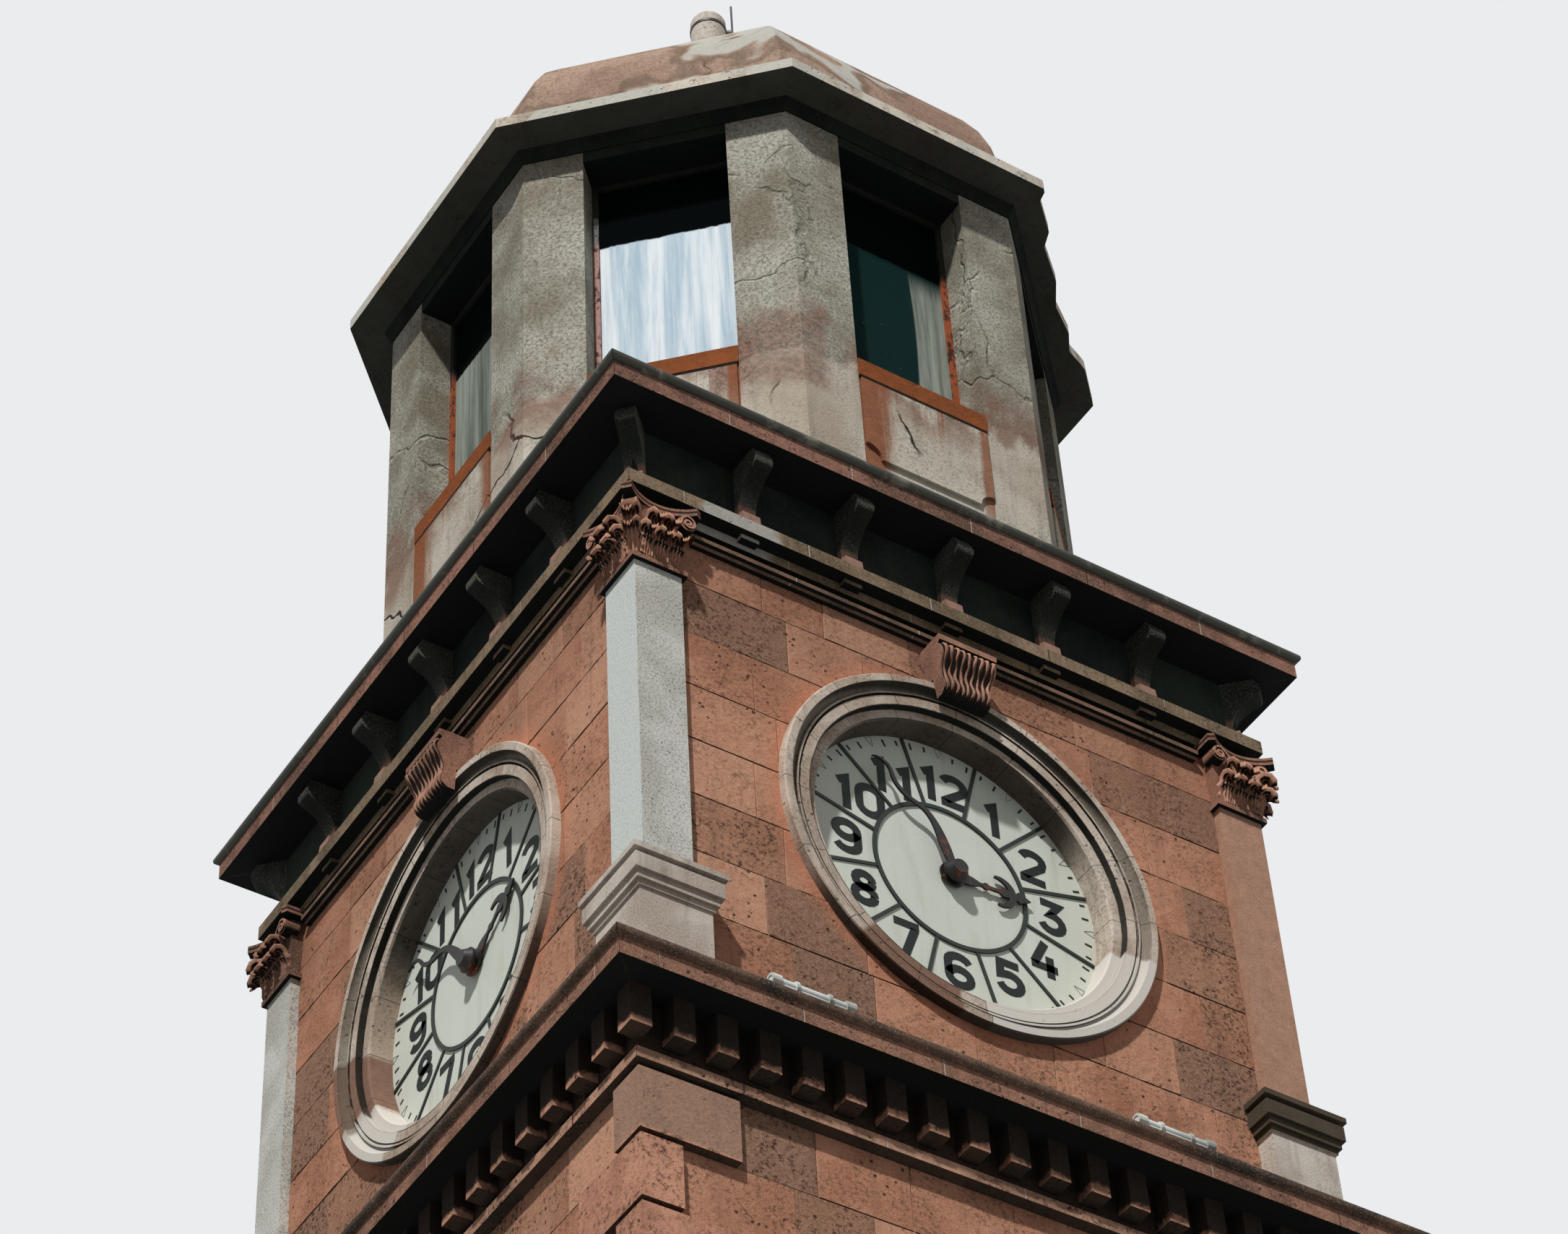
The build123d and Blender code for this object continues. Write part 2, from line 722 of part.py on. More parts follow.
# Thin moulding at the head of the wall, between the capitals
headReach = clockWallHalf + headMouldingReach
headMouldingHalf = pilasterEdge - headMouldingEnd
with BuildPart() as headMoulding:
    for angle in sides.values():
        with BuildSketch(profilePlane(angle, -headMouldingHalf)):
            with BuildLine():
                low = shaftTop + headMouldingFoot
                Polyline(
                    (clockWallHalf, low),
                    (headReach - 34, low),
                    (headReach - 26, low + 22),
                    (headReach, low + 26),
                    (headReach, low + headMouldingHeight),
                    (clockWallHalf, low + headMouldingHeight),
                    close=True,
                )
            make_face()
        extrude(amount=-2 * headMouldingHalf)
finish(headMoulding, "head_moulding")

# Architrave: recessed band and projecting ledge, with a tab under the ledge below each bracket
ledgeFoot = ledgeTop - ledgeHeightOwn
bandTop = ledgeFoot
bandLow = capitalTop
bandReach = clockWallHalf + ledgeBandReach
bracketPlaces = [(index - (bracketsPerSide - 1) / 2) * bracketSpacing for index in range(bracketsPerSide)]
with BuildPart() as architrave:
    squareRing(bandReach, clockWallHalf, (bandLow, bandTop))
    squareRing(ledgeHalf, clockWallHalf, (ledgeFoot, ledgeTop))
    for angle in sides.values():
        with BuildSketch(levelPlane(angle, ledgeFoot - tabHeight)):
            for place in bracketPlaces:
                with Locations((place, -bandReach - tabReach / 4)):
                    Rectangle(tabWidth, tabReach / 2)
        extrude(amount=tabHeight)
    cutMitres(ledgeHalf, bandLow, ledgeTop)
finish(architrave, "architrave")

# Frieze: top courses of the wall, which carry the cornice
with BuildPart() as frieze:
    squareRing(friezeHalf, clockWallHalf - clockWall, (ledgeTop, friezeTop))
    cutMitres(friezeHalf, ledgeTop, friezeTop)
finish(frieze, "frieze")


def bracketProfile(face):
    """Side outline of a scrolled bracket standing on the ledge under the soffit."""
    foot = ledgeTop
    top = friezeTop
    with BuildLine() as outline:
        Polyline(
            (face, top),
            (face, foot),
            (face + bracketFootReach, foot),
            (face + bracketFootReach - 8, foot + bracketFootHeight),
            (face + bracketWaistReach + 14, foot + bracketFootHeight),
        )
        Spline(
            (face + bracketWaistReach + 14, foot + bracketFootHeight),
            (face + bracketWaistReach, foot + bracketFootHeight + 90),
            (face + bracketWaistReach + 46, foot + bracketFootHeight + 190),
            (face + bracketHeadReach - 78, top - bracketHeadHeight - 6),
            (face + bracketHeadReach - 8, top - bracketHeadHeight + 34),
            (face + bracketHeadReach, top - bracketHeadHeight / 2),
            (face + bracketHeadReach - 34, top - 22),
        )
        Polyline((face + bracketHeadReach - 34, top - 22), (face + bracketHeadReach - 34, top), (face, top))
    make_face(outline.edges())


# Brackets of the main cornice, five on a side and one across each corner
with BuildPart() as brackets:
    for angle in sides.values():
        for place in bracketPlaces:
            with BuildSketch(profilePlane(angle, place - bracketWidth / 2)):
                bracketProfile(friezeHalf)
            extrude(amount=-bracketWidth)
        with BuildSketch(profilePlane(angle + 45, -bracketWidth / 2)):
            bracketProfile(friezeHalf * sqrt(2) - bracketWidth / 2)
        extrude(amount=-bracketWidth)
    with BuildSketch(Plane.XY.offset(ledgeTop)):
        Rectangle(2 * friezeHalf, 2 * friezeHalf)
    extrude(amount=friezeHeight, mode=Mode.SUBTRACT)
finish(brackets, "cornice_brackets")

# Main cornice: stone edge on the frieze
with BuildPart() as mainCornice:
    squareRing(mainCorniceHalf, clockWallHalf - clockWall, (friezeTop, mainCorniceTop))
    cutMitres(mainCorniceHalf, friezeTop, mainCorniceTop)
finish(mainCornice, "main_cornice")

# Floor of the lantern, on the cornice stones
with BuildPart() as lanternFloor:
    with BuildSketch(Plane.XY.offset(mainCorniceTop)):
        Rectangle(2 * lanternFloorHalf, 2 * lanternFloorHalf)
    extrude(amount=lanternFloorThick)
finish(lanternFloor, "lantern_floor")

# Octagonal lantern: a pier round each corner, with a spandrel and a head between piers
faceHalf = lanternApothem * tan(radians(22.5))
innerFaceHalf = (lanternApothem - lanternWall) * tan(radians(22.5))
windowFoot = lanternFoot + sillHeight
windowTop = windowFoot + windowHeight
octagonAngles = [45 * index for index in range(8)]
with BuildPart() as piers:
    for angle in octagonAngles:
        corner = Vector(0, 0, lanternFoot)
        with BuildSketch(Plane(origin=corner, x_dir=along(angle), z_dir=(0, 0, 1))):
            with BuildLine():
                nextOut = (sin(radians(45)), -cos(radians(45)))
                nextAlong = (cos(radians(45)), sin(radians(45)))
                half = windowWidth / 2
                inner = lanternApothem - lanternWall
                Polyline(
                    (half, -lanternApothem),
                    (faceHalf, -lanternApothem),
                    (
                        nextOut[0] * lanternApothem - nextAlong[0] * half,
                        nextOut[1] * lanternApothem - nextAlong[1] * half,
                    ),
                    (nextOut[0] * inner - nextAlong[0] * half, nextOut[1] * inner - nextAlong[1] * half),
                    (innerFaceHalf, -inner),
                    (half, -inner),
                    close=True,
                )
            make_face()
        extrude(amount=lanternWallHeight)
finish(piers, "lantern_piers")

# Spandrels under the windows, each with its sill and a raised panel with hollow lower corners
panelHalf = windowWidth / 2 - panelGap
panelTop = sillHeight - sillDepth - panelGap
with BuildPart() as spandrels:
    for angle in octagonAngles:
        inner = lanternApothem - lanternWall
        with BuildSketch(facePlane(angle, lanternApothem - spandrelRecess, lanternFoot)):
            with Locations((0, (panelTop + panelFoot) / 2)):
                Rectangle(2 * panelHalf, panelTop - panelFoot)
            with Locations((-panelHalf, panelFoot), (panelHalf, panelFoot)):
                Circle(panelScoop, mode=Mode.SUBTRACT)
        extrude(amount=panelReach)
        with BuildSketch(facePlane(angle, inner, lanternFoot)):
            with Locations((0, (sillHeight - sillDepth) / 2)):
                Rectangle(windowWidth, sillHeight - sillDepth)
        extrude(amount=lanternWall - spandrelRecess)
        with BuildSketch(facePlane(angle, inner, windowFoot - sillDepth)):
            with Locations((0, sillDepth / 2)):
                Rectangle(windowWidth, sillDepth)
        extrude(amount=lanternWall + sillReach)
finish(spandrels, "lantern_spandrels")

# Heads over the windows
headHeight = eaveFoot - windowTop
with BuildPart() as heads:
    for angle in octagonAngles:
        with BuildSketch(facePlane(angle, lanternApothem - lanternWall, windowTop)):
            with Locations((0, headHeight / 2)):
                Rectangle(windowWidth, headHeight)
        extrude(amount=lanternWall)
finish(heads, "window_heads")

# Window frames and their single panes, deep in the reveals
framePlaneReach = lanternApothem - frameRecess - frameThick
with BuildPart() as frames:
    for angle in octagonAngles:
        with BuildSketch(facePlane(angle, framePlaneReach, windowFoot)):
            with Locations((0, windowHeight / 2)):
                Rectangle(windowWidth, windowHeight)
                Rectangle(windowWidth - 2 * frameWidth, windowHeight - 2 * frameWidth, mode=Mode.SUBTRACT)
        extrude(amount=frameThick)
finish(frames, "window_frames")
with BuildPart() as panes:
    for angle in octagonAngles:
        with BuildSketch(facePlane(angle, framePlaneReach + (frameThick - glassThick) / 2, windowFoot)):
            with Locations((0, windowHeight / 2)):
                Rectangle(windowWidth - 2 * frameWidth, windowHeight - 2 * frameWidth)
        extrude(amount=glassThick)
finish(panes, "window_glass")


def octagon(apothem):
    """Octagon with its flats square to the sides of the tower."""
    RegularPolygon(apothem, 8, major_radius=False, rotation=22.5)


# Moulding where the lantern meets the soffit
with BuildPart() as soffitMoulding:
    with BuildSketch(Plane.XY.offset(eaveFoot - soffitMouldingHeight)):
        octagon(lanternApothem + 10)
    with BuildSketch(Plane.XY.offset(eaveFoot)):
        octagon(lanternApothem + soffitMouldingReach)
    loft(ruled=True)
    with BuildSketch(Plane.XY.offset(eaveFoot - soffitMouldingHeight)):
        octagon(lanternApothem)
    extrude(amount=soffitMouldingHeight, mode=Mode.SUBTRACT)
finish(soffitMoulding, "soffit_moulding")

# Eave slab, with its lip broken away along one edge
eaveHalf = eaveApothem * tan(radians(22.5))
with BuildPart() as eave:
    with BuildSketch(Plane.XY.offset(eaveFoot)):
        octagon(eaveApothem)
    extrude(amount=eaveThick)
    with BuildSketch(levelPlane(45, eaveFoot)):
        with BuildLine():
            Polyline(
                (-eaveHalf * 0.98, -eaveApothem - 10),
                (-eaveHalf * 0.9, -eaveApothem + 46),
                (-eaveHalf * 0.62, -eaveApothem + 34),
                (-eaveHalf * 0.5, -eaveApothem + 92),
                (-eaveHalf * 0.18, -eaveApothem + 64),
                (eaveHalf * 0.04, -eaveApothem + 108),
                (eaveHalf * 0.3, -eaveApothem + 58),
                (eaveHalf * 0.46, -eaveApothem + 84),
                (eaveHalf * 0.6, -eaveApothem + 20),
                (eaveHalf * 0.68, -eaveApothem - 10),
                close=True,
            )
        make_face()
    extrude(amount=eaveThick, mode=Mode.SUBTRACT)
finish(eave, "eave_slab")


# Dome: an eight-sided cloister vault, hollow, in level courses of straight edges
startTurn = degrees(asin((domeSetDown / domeRise) ** (domeFullness / 2)))
with BuildPart() as dome:
    for shell, apothemTop in ((0, domeApothem), (1, domeApothem - domeShell)):
        inside = shell == 1
        riseTop = domeRise - domeShell if inside else domeRise
        levels = []
        for step in range(domeSteps + 1):
            turn = radians(startTurn + (90 - startTurn) * step / domeSteps)
            reach = max(cos(turn), 0) ** (2 / domeFullness)
            levels.append((apothemTop * reach, domeCentre + riseTop * sin(turn) ** (2 / domeFullness)))
        levels[0] = (levels[0][0], eaveTop)
        for (lowApothem, low), (highApothem, high) in zip(levels[:-1], levels[1:]):
            with BuildSketch(Plane.XY.offset(low)):
                octagon(lowApothem)
            with BuildSketch(Plane.XY.offset(high)):
                octagon(max(highApothem, 30))
            loft(ruled=True, mode=Mode.SUBTRACT if inside else Mode.ADD)
finish(dome, "dome_shell")

# Finial: a plaster stub on a flared foot at the top of the dome
finialFoot = domeTop - finialFootDepth
with BuildPart() as finial:
    with BuildSketch(Plane.XZ):
        with BuildLine():
            Line((0, finialFoot), (finialFootRadius, finialFoot))
            Line((finialFootRadius, finialFoot), (finialFootRadius, finialFoot + 30))
            Spline(
                (finialFootRadius, finialFoot + 30),
                (finialNeckRadius + 60, finialFoot + finialNeckHeight * 0.42),
                (finialNeckRadius, finialFoot + finialNeckHeight),
            )
            Line((finialNeckRadius, finialFoot + finialNeckHeight), (finialRadius, finialFoot + finialNeckHeight + 50))
            Line((finialRadius, finialFoot + finialNeckHeight + 50), (finialRadius, finialFoot + finialHeight - 70))
            RadiusArc(
                (finialRadius, finialFoot + finialHeight - 70), (finialRadius - 60, finialFoot + finialHeight), -72
            )
            Line((finialRadius - 60, finialFoot + finialHeight), (0, finialFoot + finialHeight))
            Line((0, finialFoot + finialHeight), (0, finialFoot))
        make_face()
    revolve(axis=Axis.Z)
    add(dome.part, mode=Mode.SUBTRACT)
finish(finial, "finial")

# Lightning rod strapped to the finial
rodDistance = finialRadius + rodStandOff
rodAt = along(rodTurn) * rodDistance
rodTop = finialFoot + finialHeight + rodOverTop
with BuildPart() as rod:
    with BuildSketch(Plane(origin=rodAt + Vector(0, 0, rodTop - rodLength), x_dir=(1, 0, 0), z_dir=(0, 0, 1))):
        Circle(rodRadius)
    extrude(amount=rodLength)
    for collar in (0, 1):
        collarFoot = rodTop - rodOverTop - 180 - collar * rodCollarGap
        with BuildSketch(levelPlane(rodTurn, collarFoot)):
            Circle(finialRadius + rodCollarThick)
            with Locations((rodDistance / 2, 0)):
                Rectangle(rodDistance, 2 * rodRadius)
            Circle(finialRadius, mode=Mode.SUBTRACT)
        extrude(amount=rodCollarHeight)
finish(rod, "lightning_rod")

# Tube lights lying on the front ledge
lightDistance = lowerCorniceHalf + flashingReach - lightInset - lightBaseWidth / 2
with BuildPart() as lights:
    for place in lightPlaces:
        with BuildSketch(levelPlane(0, shaftTop)):
            with Locations((place, -lightDistance)):
                Rectangle(lightLength, lightBaseWidth)
        extrude(amount=lightBaseHeight)
        with BuildSketch(profilePlane(0, place - lightLength / 2)):
            with Locations((lightDistance, shaftTop + lightBaseHeight + lightRadius - 8)):
                Circle(lightRadius)
        extrude(amount=-lightLength)
finish(lights, "ledge_lights")
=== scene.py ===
from math import cos, pi, radians, sin

import bpy
import numpy as np
from mathutils import Matrix, Vector


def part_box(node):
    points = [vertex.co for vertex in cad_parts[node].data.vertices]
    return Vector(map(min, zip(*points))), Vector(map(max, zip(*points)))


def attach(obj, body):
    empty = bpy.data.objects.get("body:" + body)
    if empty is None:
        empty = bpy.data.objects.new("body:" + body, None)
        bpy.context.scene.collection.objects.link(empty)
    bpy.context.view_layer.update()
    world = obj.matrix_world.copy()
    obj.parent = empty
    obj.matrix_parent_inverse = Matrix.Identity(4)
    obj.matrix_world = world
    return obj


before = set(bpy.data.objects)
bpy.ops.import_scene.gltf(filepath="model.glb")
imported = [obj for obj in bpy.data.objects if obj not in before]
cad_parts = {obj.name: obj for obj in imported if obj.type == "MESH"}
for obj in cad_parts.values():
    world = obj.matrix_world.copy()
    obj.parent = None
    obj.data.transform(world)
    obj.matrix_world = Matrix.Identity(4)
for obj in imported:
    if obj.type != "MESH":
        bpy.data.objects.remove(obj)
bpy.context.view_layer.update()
sideTurns = {"front": 0, "right": 90, "back": 180, "left": 270}
allSides = list(sideTurns.values())


def lowOf(node):
    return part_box(node)[0][2]


def highOf(node):
    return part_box(node)[1][2]


# heights of the tower in metres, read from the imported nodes
pilasterLift = 1.1       # from the clock stage's foot up to the pilasters
dentilDrop = 0.276       # from the top of the dentil course down to the dentils' feet
level = {
    "stage": lowOf("corner_pilasters") - pilasterLift,
    "architrave": lowOf("architrave"),
    "ledgeTop": highOf("architrave"),
    "lantern": lowOf("lantern_piers"),
    "plinth": highOf("plinth"),
    "string": lowOf("lower_string_course"),
    "dentilFoot": highOf("dentil_course") - dentilDrop,
    "dial": (lowOf("dial_plates") + highOf("dial_plates")) / 2,
}
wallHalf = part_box("clock_front_wall")[1][0]
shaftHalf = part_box("shaft_front_wall")[1][0]
dialFace = -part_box("dial_plates")[0][1]
keystoneTaper = 0.1136   # how much a keystone's half width grows with its height


def tone(r, g, b):
    # a colour as it looks on screen, 0 to 255, in the linear values that shaders use
    c = np.array([r, g, b]) / 255
    return (*np.where(c <= 0.04045, c / 12.92, ((c + 0.055) / 1.055) ** 2.4).tolist(), 1)


def operator(operation, swapped=False):
    # how two values meet in a Math node, the other one first where they are swapped
    if swapped:
        return lambda one, other: one.maths(operation, other, one)
    return lambda one, other: one.maths(operation, one, other)


class Flow:
    # one socket on its way through a material, with the usual operators on it
    def __init__(self, tree, socket=None):
        self.tree = tree
        self.socket = socket

    def node(self, kind, settings, inputs, output=0):
        # any node: its settings first, then the values or links of its sockets
        item = self.tree.nodes.new(kind)
        for key, value in settings.items():
            setattr(item, key, value)
        for key, value in inputs.items():
            if isinstance(value, Flow):
                self.tree.links.new(value.socket, item.inputs[key])
            else:
                item.inputs[key].default_value = value
        return Flow(self.tree, item.outputs[output])

    def maths(self, operation, a, b=0.0, c=0.0):
        return self.node("ShaderNodeMath", {"operation": operation}, {0: a, 1: b, 2: c})

    __add__ = __radd__ = operator("ADD")
    __mul__ = __rmul__ = operator("MULTIPLY")
    __sub__, __rsub__ = operator("SUBTRACT"), operator("SUBTRACT", True)
    __truediv__, __rtruediv__ = operator("DIVIDE"), operator("DIVIDE", True)
    __pow__, __gt__, __lt__ = operator("POWER"), operator("GREATER_THAN"), operator("LESS_THAN")
    most, least = operator("MAXIMUM"), operator("MINIMUM")

    def __abs__(self):
        return self.maths("ABSOLUTE", self)

    def step(self, low, high):
        # rises smoothly from 0 at low to 1 at high, and falls where low is the greater
        start, end = (1.0, 0.0) if low > high else (0.0, 1.0)
        reach = {"From Min": min(low, high), "From Max": max(low, high), "To Min": start, "To Max": end}
        settings = {"interpolation_type": "SMOOTHSTEP", "clamp": True}
        return self.node("ShaderNodeMapRange", settings, {"Value": self, **reach})

    def blend(self, a, b):
        # the colour a where this is 0 and b where it is 1; three numbers stand for a tone
        a, b = (c if isinstance(c, Flow) else tone(*c) for c in (a, b))
        settings = {"data_type": "RGBA", "clamp_factor": True}
        return self.node("ShaderNodeMix", settings, {0: self, 6: a, 7: b}, 2)

    def part(self, axis):
        return self.node("ShaderNodeSeparateXYZ", {}, {0: self}, axis)

    def scaled(self, x, y, z):
        return self.node("ShaderNodeVectorMath", {"operation": "MULTIPLY"}, {0: self, 1: (x, y, z)})

    def noise(self, scale, detail=3.0, rough=0.55, warp=0.0):
        inputs = {"Vector": self, "Scale": scale, "Detail": detail, "Roughness": rough, "Distortion": warp}
        return self.node("ShaderNodeTexNoise", {"noise_dimensions": "3D"}, inputs)

    def cells(self, scale, feature="F1"):
        settings = {"voronoi_dimensions": "3D", "feature": feature}
        return self.node("ShaderNodeTexVoronoi", settings, {"Vector": self, "Scale": scale})

    def wobbly(self, amount, scale):
        # the place itself, pushed about by a coloured noise
        inputs = {"Vector": self, "Scale": scale}
        push = self.node("ShaderNodeTexNoise", {"noise_dimensions": "3D"}, inputs, 1)
        middle = {0: push, 1: (0.5, 0.5, 0.5)}
        centred = push.node("ShaderNodeVectorMath", {"operation": "SUBTRACT"}, middle)
        shift = {0: self, 1: centred.scaled(amount, amount, amount)}
        return self.node("ShaderNodeVectorMath", {"operation": "ADD"}, shift)


# the photo's camera, fitted to the tower's corners
viewpoint = {
    "place": (-11.8006, -17.2814, 0.0118),
    "azimuth": 35.1773,
    "elevation": 45.8002,
    "roll": -3.7584,
    "sensor": 36,
    "focus": 5817.3945,      # in pixels of a frame as wide as the next number
    "frameWidth": 2171,
}


def addCamera(s):
    # looks along its azimuth from +Y towards +X, raised by the elevation, then rolled
    a, e, t = radians(s["azimuth"]), radians(s["elevation"]), radians(s["roll"])
    forward = Vector((sin(a) * cos(e), cos(a) * cos(e), sin(e)))
    flatRight = Vector((cos(a), -sin(a), 0))
    flatUp = flatRight.cross(forward)
    right = flatRight * cos(t) + flatUp * sin(t)
    up = flatUp * cos(t) - flatRight * sin(t)
    data = bpy.data.cameras.new("photoCamera")
    data.lens = s["focus"] / s["frameWidth"] * s["sensor"]
    data.sensor_width = s["sensor"]
    data.clip_end = 400
    cam = bpy.data.objects.new("photoCamera", data)
    turn = Matrix((right, up, -forward)).transposed().to_4x4()
    cam.matrix_world = Matrix.Translation(s["place"]) @ turn
    bpy.context.scene.collection.objects.link(cam)
    bpy.context.scene.camera = cam


lamps = {
    "sun": {"energy": 3.5, "angle": 2.5, "from": (-0.74, -0.67, 1.05)},
    "fill": {"energy": 0.16, "angle": 60, "from": (1.0, -0.5, 0.35)},
    "worldLight": 0.24,
    "backdrop": 0.9,
    "sky": (0.92, 0.93, 0.95),
    "floorRadius": 14,
}


def addLight(s):
    # a sun, a weak fill, and a world that is pale to the camera, in reflections and through glass, and
    # lights the tower more weakly than it looks
    for name in ("sun", "fill"):
        data = bpy.data.lights.new(name, "SUN")
        data.energy = s[name]["energy"]
        data.angle = radians(s[name]["angle"])
        lamp = bpy.data.objects.new(name, data)
        lamp.rotation_euler = Vector(s[name]["from"]).to_track_quat("Z", "Y").to_euler()
        bpy.context.scene.collection.objects.link(lamp)
    world = bpy.data.worlds.new("studio")
    world.use_nodes = True
    bpy.context.scene.world = world
    tree = world.node_tree
    kinds = ("Is Camera Ray", "Is Glossy Ray", "Is Transmission Ray")
    camera, glossy, through = (Flow(tree).node("ShaderNodeLightPath", {}, {}, kind) for kind in kinds)
    seen = camera.most(glossy).most(through)
    strength = seen.maths("MULTIPLY_ADD", seen, s["backdrop"] - s["worldLight"], s["worldLight"])
    back = tree.nodes["Background"]
    back.inputs["Color"].default_value = (*s["sky"], 1)
    tree.links.new(strength.socket, back.inputs["Strength"])
    bpy.context.scene.view_settings.view_transform = "Standard"


addCamera(viewpoint)
addLight(lamps)
print("camera and light set")


def finishOf(name, paint, metallic=0.0, specular=0.3):
    # a material whose paint function gives the colour, and for most also the roughness, height and depth
    # of the bump, from the object's own place
    mat = bpy.data.materials.new(name)
    mat.use_nodes = True
    tree = mat.node_tree
    shader = tree.nodes["Principled BSDF"]
    shader.inputs["Roughness"].default_value = 0.8
    shader.inputs["Metallic"].default_value = metallic
    shader.inputs["Specular IOR Level"].default_value = specular
    place = Flow(tree).node("ShaderNodeTexCoord", {}, {}, "Object")
    colour, *relief = paint(place)
    tree.links.new(colour.socket, shader.inputs["Base Color"])
    if relief:
        rough, height, depth = relief
        bump = place.node("ShaderNodeBump", {}, {"Strength": 0.6, "Distance": depth, "Height": height})
        tree.links.new(rough.socket, shader.inputs["Roughness"])
        tree.links.new(bump.socket, shader.inputs["Normal"])
    return mat


# what every stone finish starts from; scales are per metre, and amounts of 0 leave a feature out
plainStone = {
    "patchScale": 1.6,
    "grainScale": 44, "grainInk": 0.5, "ink": (60, 46, 38), "wearScale": 3.2,
    "speckScale": 95, "speckInk": 0.4, "pale": (205, 190, 172),
    "block": None, "blockPale": None,        # tones of the darkest and palest blocks
    "stain": 0, "stainInk": (54, 52, 44),
    "pits": 0, "pitScale": 14, "pitInk": (34, 26, 22),
    "cracks": 0, "crackScale": 0.9, "crackWidth": 0.008, "crackInk": (22, 20, 18),
    # painted shade: how strongly faces that look down are darkened, and the two dark tones it mottles between
    "under": 0, "growth": (30, 36, 31), "deepPaintedShade": (9, 12, 10),
    "rough": 0.74, "depth": 0.014, "extra": None,
}
stoneShine = 0.1


def stonePaint(s):
    # mottled stone: broad patches, coarse grain, dark pits, upright stains and thin cracks, and painted
    # shade on faces that look down
    def paint(p):
        patches = p.noise(s["patchScale"], 4, 0.6, 0.4)
        grain = p.noise(s["grainScale"], 5, 0.75)
        speck = p.noise(s["speckScale"], 3, 0.8)
        worn = p.noise(s["wearScale"], 3, 0.6).step(0.36, 0.62)
        colour = patches.step(0.38, 0.62).blend(s["light"], s["dark"])
        inkAmount = (worn * 0.8 + 0.25) * s["grainInk"]
        if s["block"]:
            shade = p.node("ShaderNodeAttribute", {"attribute_name": "shade"}, {}, 2)
            colour = shade.step(0.45, 1.0).blend(colour, s["block"])
            colour = shade.step(0.3, 0.0).blend(colour, s["blockPale"])
            inkAmount = inkAmount * (shade.step(0.3, 0.9) * 0.7 + 0.6)
        colour = (grain.step(0.47, 0.64) * inkAmount).blend(colour, s["ink"])
        colour = (speck.step(0.53, 0.68) * s["speckInk"]).blend(colour, s["pale"])
        height = grain * 0.7 + speck * 0.4
        if s["stain"]:
            runs = p.scaled(5, 5, 0.35).noise(1.6, 4, 0.65, 0.2)
            colour = (runs.step(0.5, 0.72) * s["stain"]).blend(colour, s["stainInk"])
        if s["pits"]:
            holes = p.wobbly(0.02, 30).cells(s["pitScale"]).step(0.2, 0.1)
            holes = holes * p.noise(2.2, 2).step(0.48, 0.62)
            colour = (holes * s["pits"]).blend(colour, s["pitInk"])
            height = height - holes * 1.6
        if s["cracks"]:
            lines = p.wobbly(0.3, 3.0).wobbly(0.05, 14).cells(s["crackScale"], "DISTANCE_TO_EDGE")
            lines = lines.step(s["crackWidth"], 0.002)
            lines = lines * p.noise(0.9, 1).step(0.46, 0.5)
            colour = (lines * s["cracks"]).blend(colour, s["crackInk"])
            height = height - lines * 2.0
        if s["extra"]:
            colour, height = s["extra"](p, colour, height)
        # painted shade: faces that look down are darkened to a dark mottled tone
        if s["under"]:
            down = p.node("ShaderNodeNewGeometry", {}, {}, 1).part(2).step(-0.3, -0.7)
            growth = p.noise(4, 5, 0.65).blend(s["deepPaintedShade"], s["growth"])
            colour = (down * s["under"]).blend(colour, growth)
        rough = grain * 0.2 + s["rough"]
        return colour, rough, height, s["depth"]

    return paint


def stone(name, light, dark, **changes):
    settings = {**plainStone, "light": light, "dark": dark, **changes}
    return finishOf(name, stonePaint(settings), specular=stoneShine)


def dress(material, *nodes):
    # puts a finish on CAD nodes
    for node in nodes:
        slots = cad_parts[node].data.materials
        slots.clear()
        slots.append(material)


def makePiece(name, points, faces, material, slot, smooth=False, values=None):
    # points is an (n, 3) array in metres, faces an (m, 4) or (m, 3) array; values is a number for each face
    mesh = bpy.data.meshes.new(name)
    corners = faces.shape[1]
    mesh.vertices.add(len(points))
    mesh.vertices.foreach_set("co", np.asarray(points, dtype=np.float32).ravel())
    mesh.loops.add(faces.size)
    mesh.loops.foreach_set("vertex_index", faces.astype(np.int32).ravel())
    mesh.polygons.add(len(faces))
    mesh.polygons.foreach_set("loop_start", np.arange(0, faces.size, corners, dtype=np.int32))
    mesh.polygons.foreach_set("use_smooth", np.full(len(faces), smooth))
    mesh.update(calc_edges=True)
    mesh.validate()
    if values is not None:
        shade = mesh.attributes.new("shade", "FLOAT", "FACE")
        shade.data.foreach_set("value", np.asarray(values, dtype=np.float32))
    piece = bpy.data.objects.new(name, mesh)
    bpy.context.scene.collection.objects.link(piece)
    mesh.materials.append(material)
    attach(piece, "tower")
    return piece


def gridFaces(rows, columns, closeRows=False, closeColumns=False):
    # quads between neighbours of a grid of rows by columns points, row after row
    r = np.arange(rows if closeRows else rows - 1)[:, None]
    c = np.arange(columns if closeColumns else columns - 1)[None, :]
    r1, c1 = (r + 1) % rows, (c + 1) % columns
    quads = np.stack([r * columns + c, r * columns + c1, r1 * columns + c1, r1 * columns + c], axis=-1)
    return quads.reshape(-1, 4)


def onSide(turn, across, out, up):
    # a point across a side, out from the axis and up, turned to that side
    a = np.radians(turn)
    x = np.cos(a) * across + np.sin(a) * out
    y = np.sin(a) * across - np.cos(a) * out
    return np.stack([x, y, np.broadcast_to(up, x.shape)], axis=-1)


def joined(parts):
    # several (points, faces) pairs as one
    points, faces, start = [], [], 0
    for p, f in parts:
        points.append(p.reshape(-1, 3))
        faces.append(f + start)
        start += len(points[-1])
    return np.concatenate(points), np.concatenate(faces)


